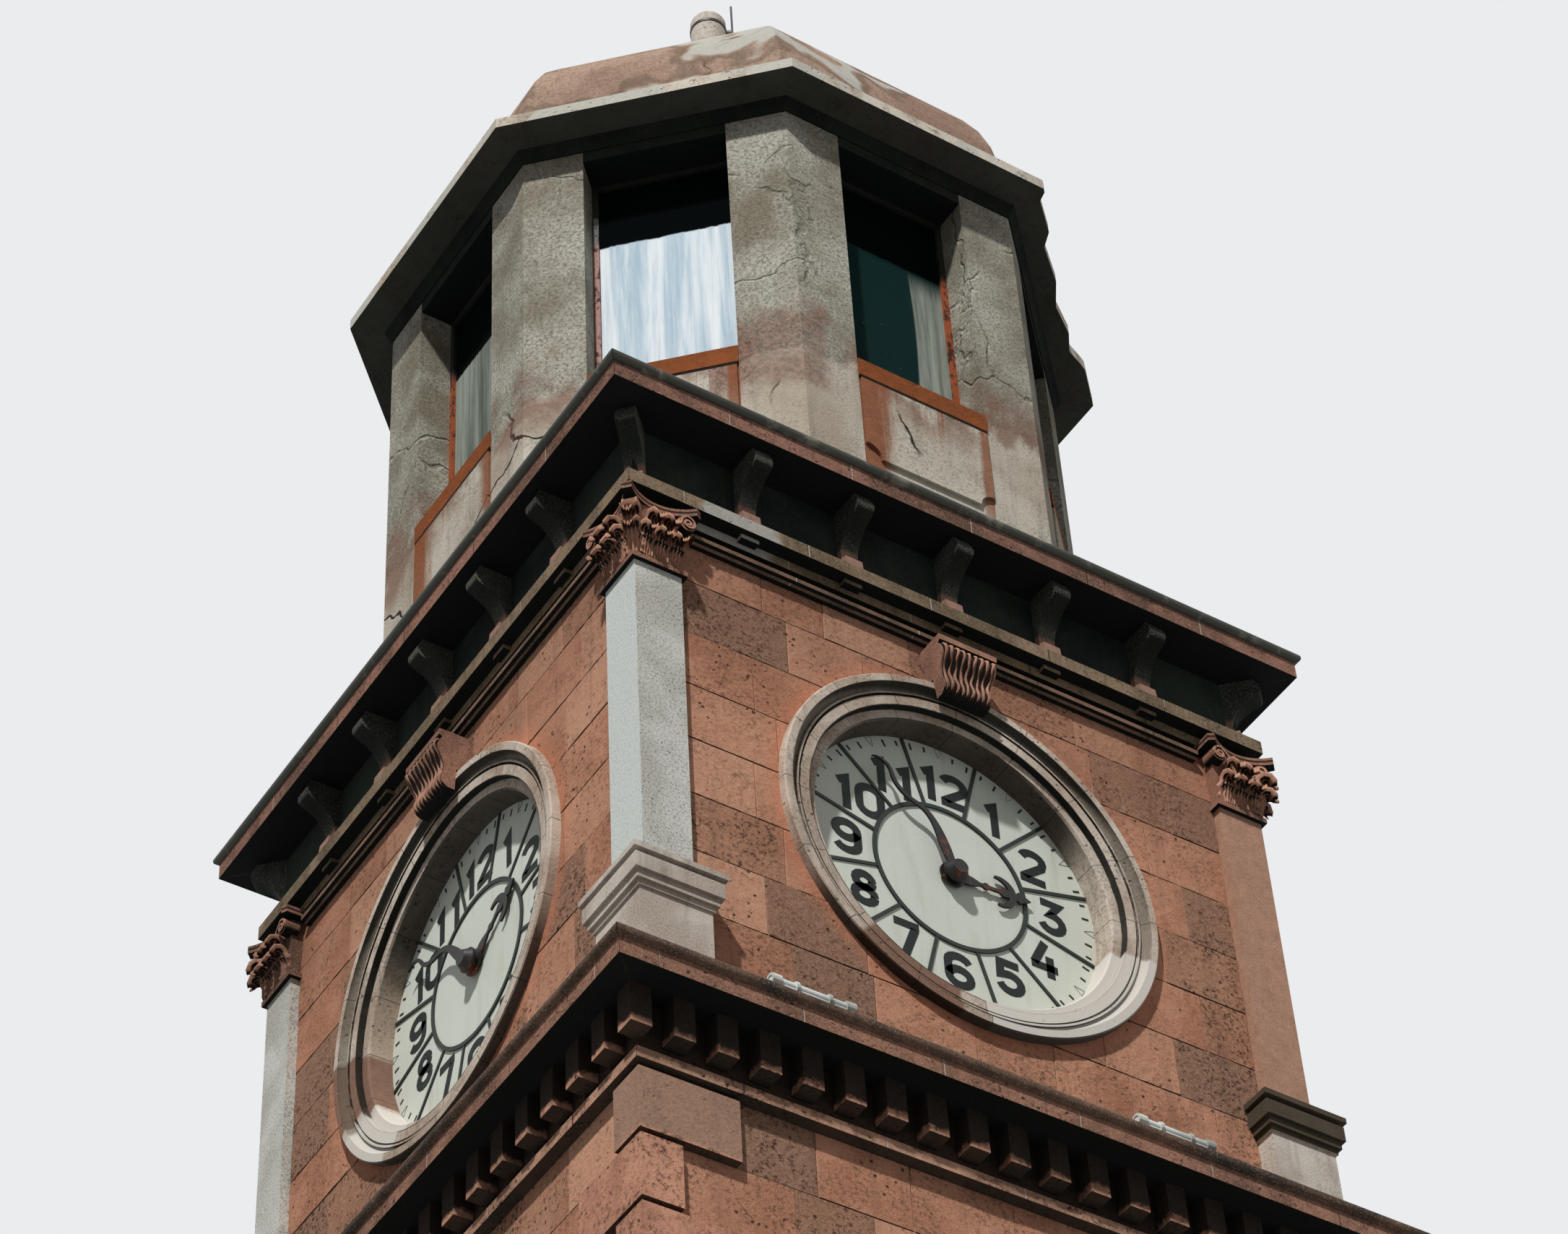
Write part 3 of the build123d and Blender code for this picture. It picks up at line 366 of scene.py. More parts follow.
blockWork = {
    "course": 0.456,         # height of a course, fitted to the wall
    "block": 0.62,           # length of a block, fitted to the wall
    "slip": 0.09,            # most that an upright joint is off its place
    "joint": 0.004,
    "proud": 0.004,
    "bevel": 0.004,
    "cell": 0.055,           # grid step on a block's face
    "rough": 0.0016,
    "uneven": 0.002,         # most that a whole block is out of line
}
clockBlocks = {**blockWork, "half": 2.06, "hole": 1.33, "door": None, "seeds": (11, 12, 13, 14)}
shaftBlocks = {
    **blockWork, "half": 2.31, "cell": 0.15, "hole": None, "door": (0.78, 2.7), "seeds": (21, 22, 23, 24),
}


def blockPanel(foot, top, s, seed):
    # blocks of a wall side: each is a small grid whose rim turns down into the joint, and its face is
    # slightly uneven, out = proud + rough * noise + uneven * noise of the block, and 0 on the rim; faces
    # inside a round hole are left out
    draw = np.random.default_rng(seed)
    courses = max(1, round((top - foot) / s["course"]))
    rise = (top - foot) / courses
    count = round(2 * s["half"] / s["block"])
    across, upright, wide, shades = [], [], [], []
    for row in range(courses):
        cuts = np.linspace(-s["half"], s["half"], count + 1)
        cuts[1:-1] += draw.uniform(-s["slip"], s["slip"], count - 1) + (row % 2) * s["block"] / 4
        across.append((cuts[1:] + cuts[:-1]) / 2)
        wide.append(np.diff(cuts))
        upright.append(np.full(count, foot + (row + 0.5) * rise))
        shades.append(draw.random(count))
    cx, cz, w, tint = (np.concatenate(a) for a in (across, upright, wide, shades))
    m = max(3, round(s["block"] / s["cell"]))
    n = max(3, round(s["course"] / s["cell"]))

    def gridLines(k, middle, size):
        # evenly spread inside each block's bevels, and one more line at either rim
        inner = (np.arange(k + 1) / k * 2 - 1)[None, :] * (size[:, None] / 2 - s["joint"] / 2 - s["bevel"])
        low, high = inner[:, :1] - s["bevel"], inner[:, -1:] + s["bevel"]
        return np.concatenate([low, inner, high], axis=1) + middle[:, None]

    rows, columns = n + 3, m + 3
    shape = (len(cx), rows, columns)
    X = np.broadcast_to(gridLines(m, cx, w)[:, None, :], shape)
    Z = np.broadcast_to(gridLines(n, cz, np.full(len(cz), rise))[:, :, None], shape)
    inside = np.ones((rows, columns))
    inside[0, :] = inside[-1, :] = inside[:, 0] = inside[:, -1] = 0
    bumps = draw.uniform(-1, 1, shape) * s["rough"] + draw.uniform(-1, 1, (len(cx), 1, 1)) * s["uneven"]
    out = s["proud"] * inside + bumps * inside
    faces = gridFaces(rows, columns)
    allFaces = (faces[None] + (np.arange(len(cx)) * rows * columns)[:, None, None]).reshape(-1, 4)
    tints = np.repeat(tint, len(faces))
    points = np.stack([X, Z, out], axis=-1).reshape(-1, 3)
    if s["hole"]:
        middle = points[allFaces].mean(axis=1)
        keep = np.hypot(middle[:, 0], middle[:, 1] - level["dial"]) > s["hole"]
        allFaces, tints = allFaces[keep], tints[keep]
    return points, allFaces, tints


def layBlocks(name, distance, foot, top, material, slot, s):
    # the four sides' blocks as one piece, without those where the front's door is
    parts, tints = [], []
    for turn, seed in zip(allSides, s["seeds"]):
        points, faces, shades = blockPanel(foot, top, s, seed)
        if s["door"] and turn == 0:
            middle = points[faces].mean(axis=1)
            keep = (abs(middle[:, 0]) > s["door"][0]) | (middle[:, 1] > s["door"][1])
            faces, shades = faces[keep], shades[keep]
        parts.append((onSide(turn, points[:, 0], distance + points[:, 2], points[:, 1]), faces))
        tints.append(shades)
    makePiece(name, *joined(parts), material, slot, values=np.concatenate(tints))


tuff = {
    "light": (192, 138, 110), "dark": (168, 116, 90), "ink": (58, 38, 29), "pale": (218, 180, 152),
    "grainScale": 34, "grainInk": 0.9, "speckInk": 0.5, "pits": 0.85,
    # under sets painted shade on faces that look down
    "stain": 0.22, "stainInk": (92, 72, 58), "under": 0.9, "depth": 0.018,
}


def tuffStone(name, light, dark, **changes):
    return stone(name, **{**tuff, "light": light, "dark": dark, **changes})


def wallExtra(p, colour, height):
    # the upper courses darker, an orange-pink halo round each dial surround and upright pale streaks
    x, y, z = p.part(0), p.part(1), p.part(2)
    high = (z + p.noise(1.3, 3) * 0.9 - level["stage"]).step(3.1, 4.3) * (z > level["stage"])
    colour = (high * 0.3).blend(colour, (104, 70, 56))
    across = abs(x).least(abs(y))
    span = (across * across + (z - level["dial"]) ** 2.0) ** 0.5 + p.noise(4, 3) * 0.16
    colour = (span.step(1.62, 1.47) * 0.45).blend(colour, (206, 132, 100))
    streak = p.scaled(7, 7, 0.5).noise(1.1, 4, 0.7, 0.4).step(0.6, 0.72) * p.noise(0.8, 2).step(0.45, 0.6)
    return (streak * 0.3).blend(colour, (206, 178, 156)), height


wallTuff = stone("tuffBlocks", **tuff, block=(142, 108, 88), blockPale=(200, 150, 122), extra=wallExtra)
mortar = stone("paleMortar", (176, 132, 106), (96, 70, 56), patchScale=1.1, depth=0.006, speckInk=0.2)
dress(mortar, *(part + side + "_wall" for part in ("clock_", "shaft_") for side in sideTurns))
layBlocks(
    "clock_stage_blocks", wallHalf, level["stage"], level["architrave"], wallTuff, "clock_wall_stone",
    clockBlocks,
)
layBlocks("shaft_blocks", shaftHalf, level["plinth"], level["string"], wallTuff, "shaft_stone", shaftBlocks)
print("block walls laid")

dialWork = {
    "circle": 0.559,
    "circleWidth": 0.029,
    "barWidth": 0.024,
    "barOut": 1.088,
    "raise": 0.006,
    "tickIn": 1.01,
    "tickOut": 1.062,
    "tickWidth": 0.014,
    "oddTick": 0.012,        # how much shorter every second tick is
    "triangle": 0.075,
    "triangleOut": 1.085,
    "numeral": 0.76,
    "numeralHeight": 0.285,
    "numeralWidth": 1.28,
    "stroke": 0.06,
    "pitch": 0.19,
}


def arcPoints(cx, cy, rx, ry, start, end, count=9):
    # points on an ellipse from start to end in degrees, counted anticlockwise from its right
    t = np.radians(np.linspace(start, end, count))
    return np.stack([cx + rx * np.cos(t), cy + ry * np.sin(t)], axis=-1)


def numeralPaths():
    # middle lines of the digits in a box one high and 0.56 wide, strokes included
    arc, w = arcPoints, 0.22
    line = lambda *p: np.array(p, dtype=float)
    join = lambda *p: np.concatenate(p)
    return {
        "0": [join(arc(0, 0.68, w, 0.22, 0, 180), arc(0, 0.32, w, 0.22, 180, 360), line((w, 0.68)))],
        "1": [line((-0.12, 0.78), (0.04, 0.9), (0.04, 0.0))],
        "2": [join(
            arc(0, 0.7, w, 0.2, 165, 0),
            line((0.19, 0.56), (-0.2, 0.16), (-0.2, 0.1), (0.24, 0.1)),
        )],
        "3": [join(line((-0.2, 0.9), (0.17, 0.9), (-0.02, 0.58)), arc(0, 0.34, w, 0.24, 90, -165, 12))],
        "4": [
            line((0.06, 0.98), (-0.2, 0.32)),
            line((-0.26, 0.28), (0.28, 0.28)),
            line((0.13, 0.6), (0.13, 0.0)),
        ],
        "5": [join(
            line((0.2, 0.9), (-0.18, 0.9), (-0.19, 0.55), (-0.02, 0.6)),
            arc(0, 0.36, w, 0.24, 80, -165, 12),
        )],
        "6": [join(
            arc(0, 0.7, w, 0.2, 20, 180, 8), arc(0, 0.32, w, 0.22, 180, 360, 10),
            arc(0, 0.32, w, 0.22, 0, 170),
        )],
        "7": [line((-0.22, 0.9), (0.2, 0.9), (0.2, 0.82), (-0.04, 0.0))],
        "8": [arc(0, 0.71, 0.17, 0.19, 0, 360, 15), arc(0, 0.31, 0.2, 0.21, 0, 360, 15)],
        "9": [join(
            arc(0, 0.3, w, 0.2, 200, 360, 8), arc(0, 0.68, w, 0.22, 0, 180, 10),
            arc(0, 0.68, w, 0.22, 180, 350),
        )],
    }


def strokeStrip(path, width, depth):
    # a flat bar along a path: at each point it is widened along the mean normal of its two runs, but not
    # far past a sharp bend, and has a box section, so the grid is (points, 4) and both ends are closed
    step = np.diff(path, axis=0)
    step = step[np.hypot(step[:, 0], step[:, 1]) > 1e-6]
    path = np.concatenate([path[:1], path[:1] + np.cumsum(step, axis=0)])
    unit = step / np.hypot(step[:, 0], step[:, 1])[:, None]
    normal = np.stack([-unit[:, 1], unit[:, 0]], axis=-1)
    mean = np.concatenate([normal[:1], normal]) + np.concatenate([normal, normal[-1:]])
    mean /= np.maximum((mean ** 2).sum(axis=1, keepdims=True) / 2, 0.45)
    left, right = path + mean * width / 2, path - mean * width / 2
    zero, high = np.zeros(len(path)), np.full(len(path), depth)
    section = ((left, zero), (left, high), (right, high), (right, zero))
    ring = np.stack([np.column_stack(corner) for corner in section], axis=1)
    last = (len(path) - 1) * 4
    caps = np.array([[0, 1, 2, 3], [last + 3, last + 2, last + 1, last]])
    return ring.reshape(-1, 3), np.concatenate([gridFaces(len(path), 4, closeColumns=True), caps])


def placeFlat(flat, cx, cy, turn=0.0):
    # moves a flat (x, y, depth) part on the dial, turned clockwise by turn degrees
    a = radians(turn)
    points, faces = flat
    x, y = points[:, 0], points[:, 1]
    moved = [cx + x * cos(a) + y * sin(a), cy - x * sin(a) + y * cos(a), points[:, 2]]
    return np.stack(moved, axis=-1), faces


def dialLines(s):
    # inner circle, twelve bars, short ticks and hour triangles in the flat plane of a dial
    circle = arcPoints(0, 0, s["circle"], s["circle"], 0, 360, 97)
    parts = [strokeStrip(circle, s["circleWidth"], s["raise"] * 2)]
    bar = strokeStrip(np.array([(0, s["circle"]), (0, s["barOut"])]), s["barWidth"], s["raise"] * 1.6)
    for k in range(12):
        parts.append(placeFlat(bar, 0, 0, 15 + 30 * k))
    d, out = s["triangle"], s["triangleOut"]
    tip = np.array([(0, out - d, 0), (d * 0.36, out, 0), (-d * 0.36, out, 0)])
    tipFaces = np.array([[3, 4, 5, 5], [0, 1, 4, 3], [1, 2, 5, 4], [2, 0, 3, 5]])
    triangle = np.concatenate([tip, tip + [0, 0, s["raise"] * 0.5]]), tipFaces
    for k in range(60):
        if k % 5 == 0:
            parts.append(placeFlat(triangle, 0, 0, 6 * k))
        elif (k * 6 - 15) % 30:
            inner = s["tickIn"] + (s["oddTick"] if k % 2 else 0.0)
            tick = strokeStrip(np.array([(0, inner), (0, s["tickOut"])]), s["tickWidth"], s["raise"] * 0.5)
            parts.append(placeFlat(tick, 0, 0, 6 * k))
    return parts


def dialNumerals(s):
    # upright numbers one to twelve on a circle
    digits = numeralPaths()
    size = np.array([s["numeralHeight"] * s["numeralWidth"], s["numeralHeight"]])
    parts = []
    for hour in range(1, 13):
        a = radians(30 * hour)
        cx, cy = s["numeral"] * sin(a), s["numeral"] * cos(a) - s["numeralHeight"] / 2
        text = str(hour)
        for index, digit in enumerate(text):
            shift = (index - (len(text) - 1) / 2) * s["pitch"]
            for path in digits[digit]:
                flat = strokeStrip(path * size, s["stroke"], s["raise"] * 0.45)
                parts.append(placeFlat(flat, cx + shift, cy))
    return parts


def putOnDials(name, parts, material):
    # the same flat parts on all four dials
    pieces = []
    for turn in allSides:
        for p, f in parts:
            pieces.append((onSide(turn, p[:, 0], dialFace + p[:, 2], level["dial"] + p[:, 1]), f))
    makePiece(name, *joined(pieces), material, "dial_face")


def numeralPaint(p):
    # old paint: nearly black, worn away in small flakes to the pale dial
    worn = p.noise(52, 4, 0.8).step(0.66, 0.7)
    colour = worn.blend((14, 20, 18), (120, 122, 112))
    return colour, 0.5 + p.noise(20) * 0.3, worn, 0.002


def leadPaint(p):
    # green-black bars
    colour = p.noise(14, 4, 0.6).blend((20, 32, 28), (44, 52, 44))
    return colour, 0.4 + p.noise(30) * 0.3, p.noise(60), 0.002


def dialPaint(p):
    # worn pale dial: broad changes of tone, faint stains that run down it and fine stipple
    colour = p.noise(1.4, 3, 0.5).blend((214, 219, 208), (200, 202, 188))
    runs = p.scaled(6, 6, 0.7).noise(1.5, 3, 0.6).step(0.5, 0.75)
    colour = (runs * 0.25).blend(colour, (160, 152, 128))
    fine = p.noise(90, 3, 0.7)
    return colour, 0.45 + fine * 0.2, fine, 0.003


dress(finishOf("dialStone", dialPaint), "dial_plates")
putOnDials("dial_lines", dialLines(dialWork), finishOf("leadBars", leadPaint))
putOnDials("dial_numerals", dialNumerals(dialWork), finishOf("blackPaint", numeralPaint))
print("dials marked")


def hubGlow(p):
    # 1 near the middle of a dial, fading to a little rust at the ends of the hands
    x, y, z = p.part(0), p.part(1), p.part(2) - level["dial"]
    across = abs(x).least(abs(y))
    return ((across * across + z * z) ** 0.5).step(0.5, 0.12) * 0.85 + 0.15


def ironPaint(p):
    # dark iron with orange rust that gathers in patches, most of all round the hub
    rust = p.noise(9, 5, 0.7, 0.5).step(0.54, 0.66) * hubGlow(p)
    dark = p.noise(30, 3).blend((14, 16, 15), (34, 32, 29))
    orange = p.noise(40, 4).blend((142, 76, 40), (84, 46, 30))
    fine = p.noise(120, 4, 0.7)
    return rust.blend(dark, orange), 0.45 + rust * 0.4, fine, 0.003


handIron = finishOf("rustedIron", ironPaint, metallic=0.2, specular=0.4)
dress(handIron, *(hand + side for side in sideTurns for hand in ("minute_hand_", "hour_hand_")))
dress(handIron, "dial_arbors", "lightning_rod")
print("hands dressed")


def ringExtra(p, colour, height):
    # on the front and left rings, pale smooth plaster on a part and one reddish stone, by the angle round
    # the dial; joints between the stones, a cove dark with dirt and painted shade, and grooves of darker
    # painted shade, by the radius
    x, y, z = p.part(0), p.part(1), p.part(2)
    front = (y < -2.0) * (abs(x) < 1.6)
    left = (x < -2.0) * (abs(y) < 1.6)
    across = front * x + left * (0.0 - y)
    angle = p.maths("ARCTAN2", across, z - level["dial"]) / pi * 180
    wobble = p.noise(5) * 6 - 3
    ragged = angle + wobble
    plasterFront = ragged.step(103, 105) * ragged.step(186, 183)
    plasterLeft = ragged.step(-152, -150) * ragged.step(-118, -121)
    redFront = angle.step(-172, -170.5) * angle.step(-138, -140)
    redLeft = ragged.step(-118, -116) * ragged.step(-88, -91)
    smooth = (front * plasterFront + left * plasterLeft).least(1.0)
    red = (front * redFront + left * redLeft).least(1.0)
    colour = smooth.blend(colour, p.noise(120, 3, 0.7).blend((218, 212, 203), (196, 188, 177)))
    colour = red.blend(colour, p.noise(20, 4).blend((150, 118, 100), (112, 84, 70)))
    joints = abs(p.maths("FRACT", angle / 22.5 + 0.5) - 0.5).step(0.01, 0.005) * (1 - smooth)
    colour = (joints * 0.55).blend(colour, (70, 60, 50))
    span = ((front + left) * (across * across + (z - level["dial"]) ** 2.0)) ** 0.5
    span = span + p.noise(9) * 0.012 - 0.006
    cove = span.step(1.262, 1.27) * span.step(1.326, 1.318)
    groove = span.step(1.236, 1.241) * span.step(1.256, 1.251)
    groove = groove.most(span.step(1.158, 1.166) * span.step(1.176, 1.17))
    bare = 1 - smooth * 0.8
    # painted shade in the cove and the grooves
    colour = (cove * 0.65 * bare).blend(colour, (84, 80, 68))
    colour = (groove * 0.95 * bare).blend(colour, (30, 30, 26))
    return colour, height * bare - joints * 2.0


def dentilExtra(p, colour, height):
    # painted shadow of the cornice: dark on the band behind the dentils and down most of each dentil, whose
    # foot stays pale
    out = abs(p.part(0)).most(abs(p.part(1)))
    band = out.step(shaftHalf + 0.05, shaftHalf + 0.035)
    z = p.part(2) - level["dentilFoot"] + p.noise(7, 4, 0.7) * 0.16 - 0.08
    paintedShadow = z.step(0.02, 0.06) * 0.96
    growth = p.noise(7, 4).blend((9, 12, 11), (32, 30, 25))
    return (band * 0.9).most(paintedShadow).blend(colour, growth), height


def abacusExtra(p, colour, height):
    # painted shade of a groove between the two thin mouldings of the abacus
    z = p.part(2) - level["stage"]
    groove = z.step(4.04, 4.045) * z.step(4.062, 4.057)
    return (groove * 0.9).blend(colour, (20, 17, 15)), height - groove * 2.0


def tasselExtra(p, colour, height):
    # painted shade, nearly black, behind the upright ribs of a keystone's front
    x, y, z = p.part(0), p.part(1), p.part(2) - level["stage"]
    out, across = abs(x).most(abs(y)), abs(x).least(abs(y))
    inside = (across - z * keystoneTaper).step(-0.224, -0.23) * (out > wallHalf + 0.05)
    inside = inside * z.step(3.815, 3.808)
    return (inside * 0.95).blend(colour, (18, 16, 14)), height


def bracketExtra(p, colour, height):
    # pale pinkish foot blocks under the dark scrolls
    z = p.part(2) - level["ledgeTop"] + p.noise(9, 3) * 0.06 - 0.03
    pink = p.noise(26, 4, 0.7).blend((178, 138, 120), (108, 86, 74))
    return z.step(0.2, 0.15).blend(colour, pink), height


def fasciaExtra(p, colour, height):
    # upright joints in the edge stones of a cornice, some of them open and dark, some pale
    along = p.part(0) + p.part(1)
    seam = abs(p.maths("FRACT", along / 0.93 + 0.37) - 0.5).step(0.007, 0.003)
    filling = p.noise(0.8, 1).step(0.45, 0.55).blend((60, 46, 38), (190, 176, 160))
    return (seam * 0.8).blend(colour, filling), height - seam * 2.0


def architraveExtra(p, colour, height):
    # grey-white render left on a stretch of the front next to the near corner
    colour, height = fasciaExtra(p, colour, height)
    x = p.part(0) + p.noise(7, 4, 0.7) * 0.2
    patch = x.step(-1.86, -1.8) * x.step(-1.2, -1.3) * (p.part(1) < -2.3)
    return (patch * 0.85).blend(colour, p.noise(40, 4).blend((196, 194, 186), (150, 146, 136))), height


def quoinExtra(p, colour, height):
    # the top quoin is grey-brown, the ones below it salmon
    top = p.part(2).step(level["string"] - 0.46, level["string"] - 0.42)
    return (top * 0.75).blend(colour, p.noise(30, 5, 0.8).blend((176, 146, 124), (112, 90, 76))), height


# painted shade at full strength on faces that look down
shaded = {"under": 1.0, "growth": (18, 22, 19)}
finishes = {
    "dial_surrounds": stone(
        "ringStone", (212, 198, 182), (178, 158, 140), ink=(92, 80, 68), grainInk=0.6, pits=0.6,
        stain=0.25, extra=ringExtra, under=0.85,
    ),
    "corner_quoins": tuffStone(
        "quoinStone", (206, 150, 124), (180, 128, 104), patchScale=2.2, extra=quoinExtra,
    ),
    "lower_string_course": tuffStone("stringStone", (190, 146, 122), (150, 114, 94), extra=fasciaExtra),
    "lower_cornice": tuffStone(
        "lowerCorniceStone", (156, 114, 94), (112, 82, 68), extra=fasciaExtra, **shaded,
    ),
    "main_cornice": tuffStone(
        "mainCorniceStone", (146, 106, 90), (98, 72, 61), pits=1.0, extra=fasciaExtra, **shaded,
    ),
    "dentil_course": tuffStone("dentilStone", (196, 146, 120), (150, 112, 92), stain=0.5, extra=dentilExtra),
    "architrave": stone(
        "architraveStone", (140, 118, 94), (104, 88, 68), ink=(48, 40, 32), pits=0.6, stain=0.45,
        grainInk=0.7, extra=architraveExtra, **shaded,
    ),
    "head_moulding": stone(
        "headMouldingStone", (126, 96, 78), (84, 66, 54), stain=0.4, extra=fasciaExtra, **shaded,
    ),
    # painted shadow: the frieze under the main cornice is nearly black
    "frieze": stone(
        "friezeInPaintedShadow", (44, 52, 46), (22, 28, 25), ink=(10, 12, 10), pale=(74, 82, 74), speckInk=0.2,
        stain=0.5, pits=0.3, patchScale=1.1, **shaded,
    ),
    "cornice_brackets": stone(
        "bracketStone", (70, 74, 66), (42, 46, 41), ink=(18, 18, 16), stain=0.35, pits=0.3,
        extra=bracketExtra, under=0.85,
    ),
    "plinth": tuffStone("plinthStone", (160, 136, 116), (132, 112, 96)),
    "door_surround": tuffStone("doorStone", (178, 154, 134), (152, 130, 112)),
    "lantern_floor": stone("lanternFloorStone", (140, 134, 122), (110, 106, 98), stain=0.3),
    "corner_capitals": stone(
        "terracotta", (150, 106, 86), (104, 76, 62), ink=(46, 34, 28), stain=0.3, extra=abacusExtra,
        **shaded,
    ),
    "keystone_consoles": stone(
        "keystoneClay", (176, 128, 106), (130, 96, 80), ink=(60, 42, 34), stain=0.2, extra=tasselExtra,
        **shaded,
    ),
    "ledge_lights": stone("lightPlastic", (214, 220, 216), (176, 182, 178), grainInk=0.1, depth=0.001),
    "finial": stone("finialPlaster", (224, 214, 200), (196, 184, 168), cracks=0.6, pits=0.3, stain=0.2),
}
for node, finish in finishes.items():
    dress(finish, node)


carving = {
    "bell": 2.4,             # pilaster face under the leaves, from the axis
    "edge": 2.06,            # inner edge of a capital, from the middle of its side
    "foot": level["stage"] + 3.58,
    "volute": level["stage"] + 3.949,
    "voluteFront": 2.488,
    "voluteRadius": 0.06,
    "ribbon": 0.015,
    "cornerReach": 0.034,    # how far the corner volutes stand off the bell and off the corner's plane
    "smallRadius": 0.032,
    "smallPlace": 0.17,
    "smallGap": 0.036,
    "smallRibbon": 0.011,
    "lowRow": {"shares": (0.17, 0.5, 0.83), "rise": 0.19, "width": 0.112, "curl": 0.022, "lean": 0.04},
    "highRow": {"shares": (0.335, 0.665), "rise": 0.335, "width": 0.122, "curl": 0.029, "lean": 0.038},
    "thick": 0.012,          # of a leaf
    "roll": 215,             # degrees that a leaf's tip rolls over
    "rows": 18,
    "columns": 21,
}


def leafShell(s, rise, width, curl, lean):
    # an upright leaf as a closed shell: its middle line leans out as the square of the height, then rolls
    # over in a circle; its half width swells as a sine with lobes of a cosine and narrows at the tip, and
    # ribs of a cosine run up it. Columns go over the front and back again behind.
    v = np.linspace(0, 1, s["rows"])[:, None]
    u = np.linspace(-1, 1, s["columns"])[None, :]
    low, tip = np.minimum(v / 0.7, 1), np.maximum(v - 0.7, 0) / 0.3
    t = np.radians(tip * s["roll"])
    up = 0.82 * rise * low + curl * np.sin(t)
    out = 0.024 + lean * low ** 2 + curl * (1 - np.cos(t))
    half = width / 2 * (0.74 + 0.26 * np.sin(pi * v)) * (1 + 0.15 * np.cos(2 * pi * 3.5 * v))
    half = half * (1 - 0.5 * tip ** 2)
    slopeUp, slopeOut = np.gradient(up[:, 0])[:, None], np.gradient(out[:, 0])[:, None]
    size = np.hypot(slopeUp, slopeOut)
    normalOut, normalUp = slopeUp / size, -slopeOut / size

    def sheet(swell):
        grids = np.broadcast_arrays(half * u, out + normalOut * swell, up + normalUp * swell)
        return np.stack(grids, axis=-1)

    swell = 0.012 * np.cos(2 * pi * 2.5 * u) - 0.026 * u ** 2
    points = np.concatenate([sheet(swell), sheet(swell - s["thick"])[:, ::-1]], axis=1)
    m = s["columns"]
    faces = gridFaces(s["rows"], 2 * m, closeColumns=True)
    j = np.arange(m - 1)
    foot = np.stack([j, 2 * m - 1 - j, 2 * m - 2 - j, j + 1], axis=-1)
    top = foot[:, ::-1] + (s["rows"] - 1) * 2 * m
    return points.reshape(-1, 3), np.concatenate([faces, foot, top])


def carvedLeaves(s):
    # two rows of leaves on both faces of every corner, and a leaf of each row on the corner itself
    parts = []
    corner = s["bell"] * 2 ** 0.5 - 0.012
    for row in ("lowRow", "highRow"):
        r = s[row]
        points, faces = leafShell(s, r["rise"], r["width"], r["curl"], r["lean"])
        across, out, up = points.T
        for turn in allSides:
            for share in r["shares"]:
                for hand in (-1, 1):
                    c = hand * (s["edge"] + share * (s["bell"] - s["edge"]))
                    parts.append((onSide(turn, c + across, s["bell"] + out, s["foot"] + up), faces))
            parts.append((onSide(turn + 45, across * 1.2, corner + out, s["foot"] + up * 1.02), faces))
    return joined(parts)


def spiral(radius, start, sweep, stem, count=34):
    # a ribbon's middle line: from the stem it meets a spiral r = radius * exp(-k * angle) turning by sweep
    t = np.linspace(0, 1, count)
    angle = np.radians(start + sweep * t)
    r = radius * np.exp(-1.7 * t)
    turn = np.stack([r * np.cos(angle), r * np.sin(angle)], axis=-1)
    return np.concatenate([np.array(stem, dtype=float), turn])


def carvedVolutes(s):
    # spiral ribbons on the inner volutes, small ones between, and one on both sides of every corner volute
    inner = spiral(s["voluteRadius"], 75, 610, ((0.12, -0.2), (0.105, -0.1), (0.07, 0.0)))
    outer = spiral(s["voluteRadius"], 105, -610, ((-0.16, -0.2), (-0.145, -0.1), (-0.09, 0.01)))
    small = spiral(s["smallRadius"], 40, 520, ((0.028, -0.12), (0.03, -0.05)), 22)
    parts = []

    def place(strip, turn, middle, out, mirrored):
        points, faces = strip
        across = middle + points[:, 0] * (-1 if mirrored else 1)
        points = onSide(turn, across, out + points[:, 2], s["volute"] + points[:, 1])
        parts.append((points, faces[:, ::-1] if mirrored else faces))

    strip = strokeStrip(inner, s["ribbon"], 0.016)
    for turn in allSides:
        for hand in (-1, 1):
            place(strip, turn, hand * (s["edge"] - 0.006), s["voluteFront"] - 0.004, hand < 0)
    strip = strokeStrip(small, s["smallRibbon"], 0.05)
    for turn in allSides:
        for hand in (-1, 1):
            middle = hand * (s["edge"] + s["smallPlace"])
            place(strip, turn, middle - s["smallGap"], s["bell"] + 0.02, False)
            place(strip, turn, middle + s["smallGap"], s["bell"] + 0.02, True)
    points, faces = strokeStrip(outer, s["ribbon"], 0.014)
    corner = (s["bell"] + s["cornerReach"]) * 2 ** 0.5
    for turn in allSides:
        for hand in (-1, 1):
            across = hand * (s["cornerReach"] + points[:, 2])
            side = onSide(turn + 45, across, corner + points[:, 0], s["volute"] + points[:, 1])
            parts.append((side, faces if hand < 0 else faces[:, ::-1]))
    return joined(parts)


# heights are above the clock stage's foot, reaches from the wall
ribWork = {
    "count": 9, "radius": 0.012, "rows": 20, "around": 6, "top": 3.80, "foot": 3.436,
    "heights": (3.81, 3.72, 3.58, 3.474, 3.43),
    "reaches": (0.19, 0.212, 0.156, 0.168, 0.122),
    "head": 3.87, "headHalf": 0.225, "spread": 0.86, "wander": 0.004,
}


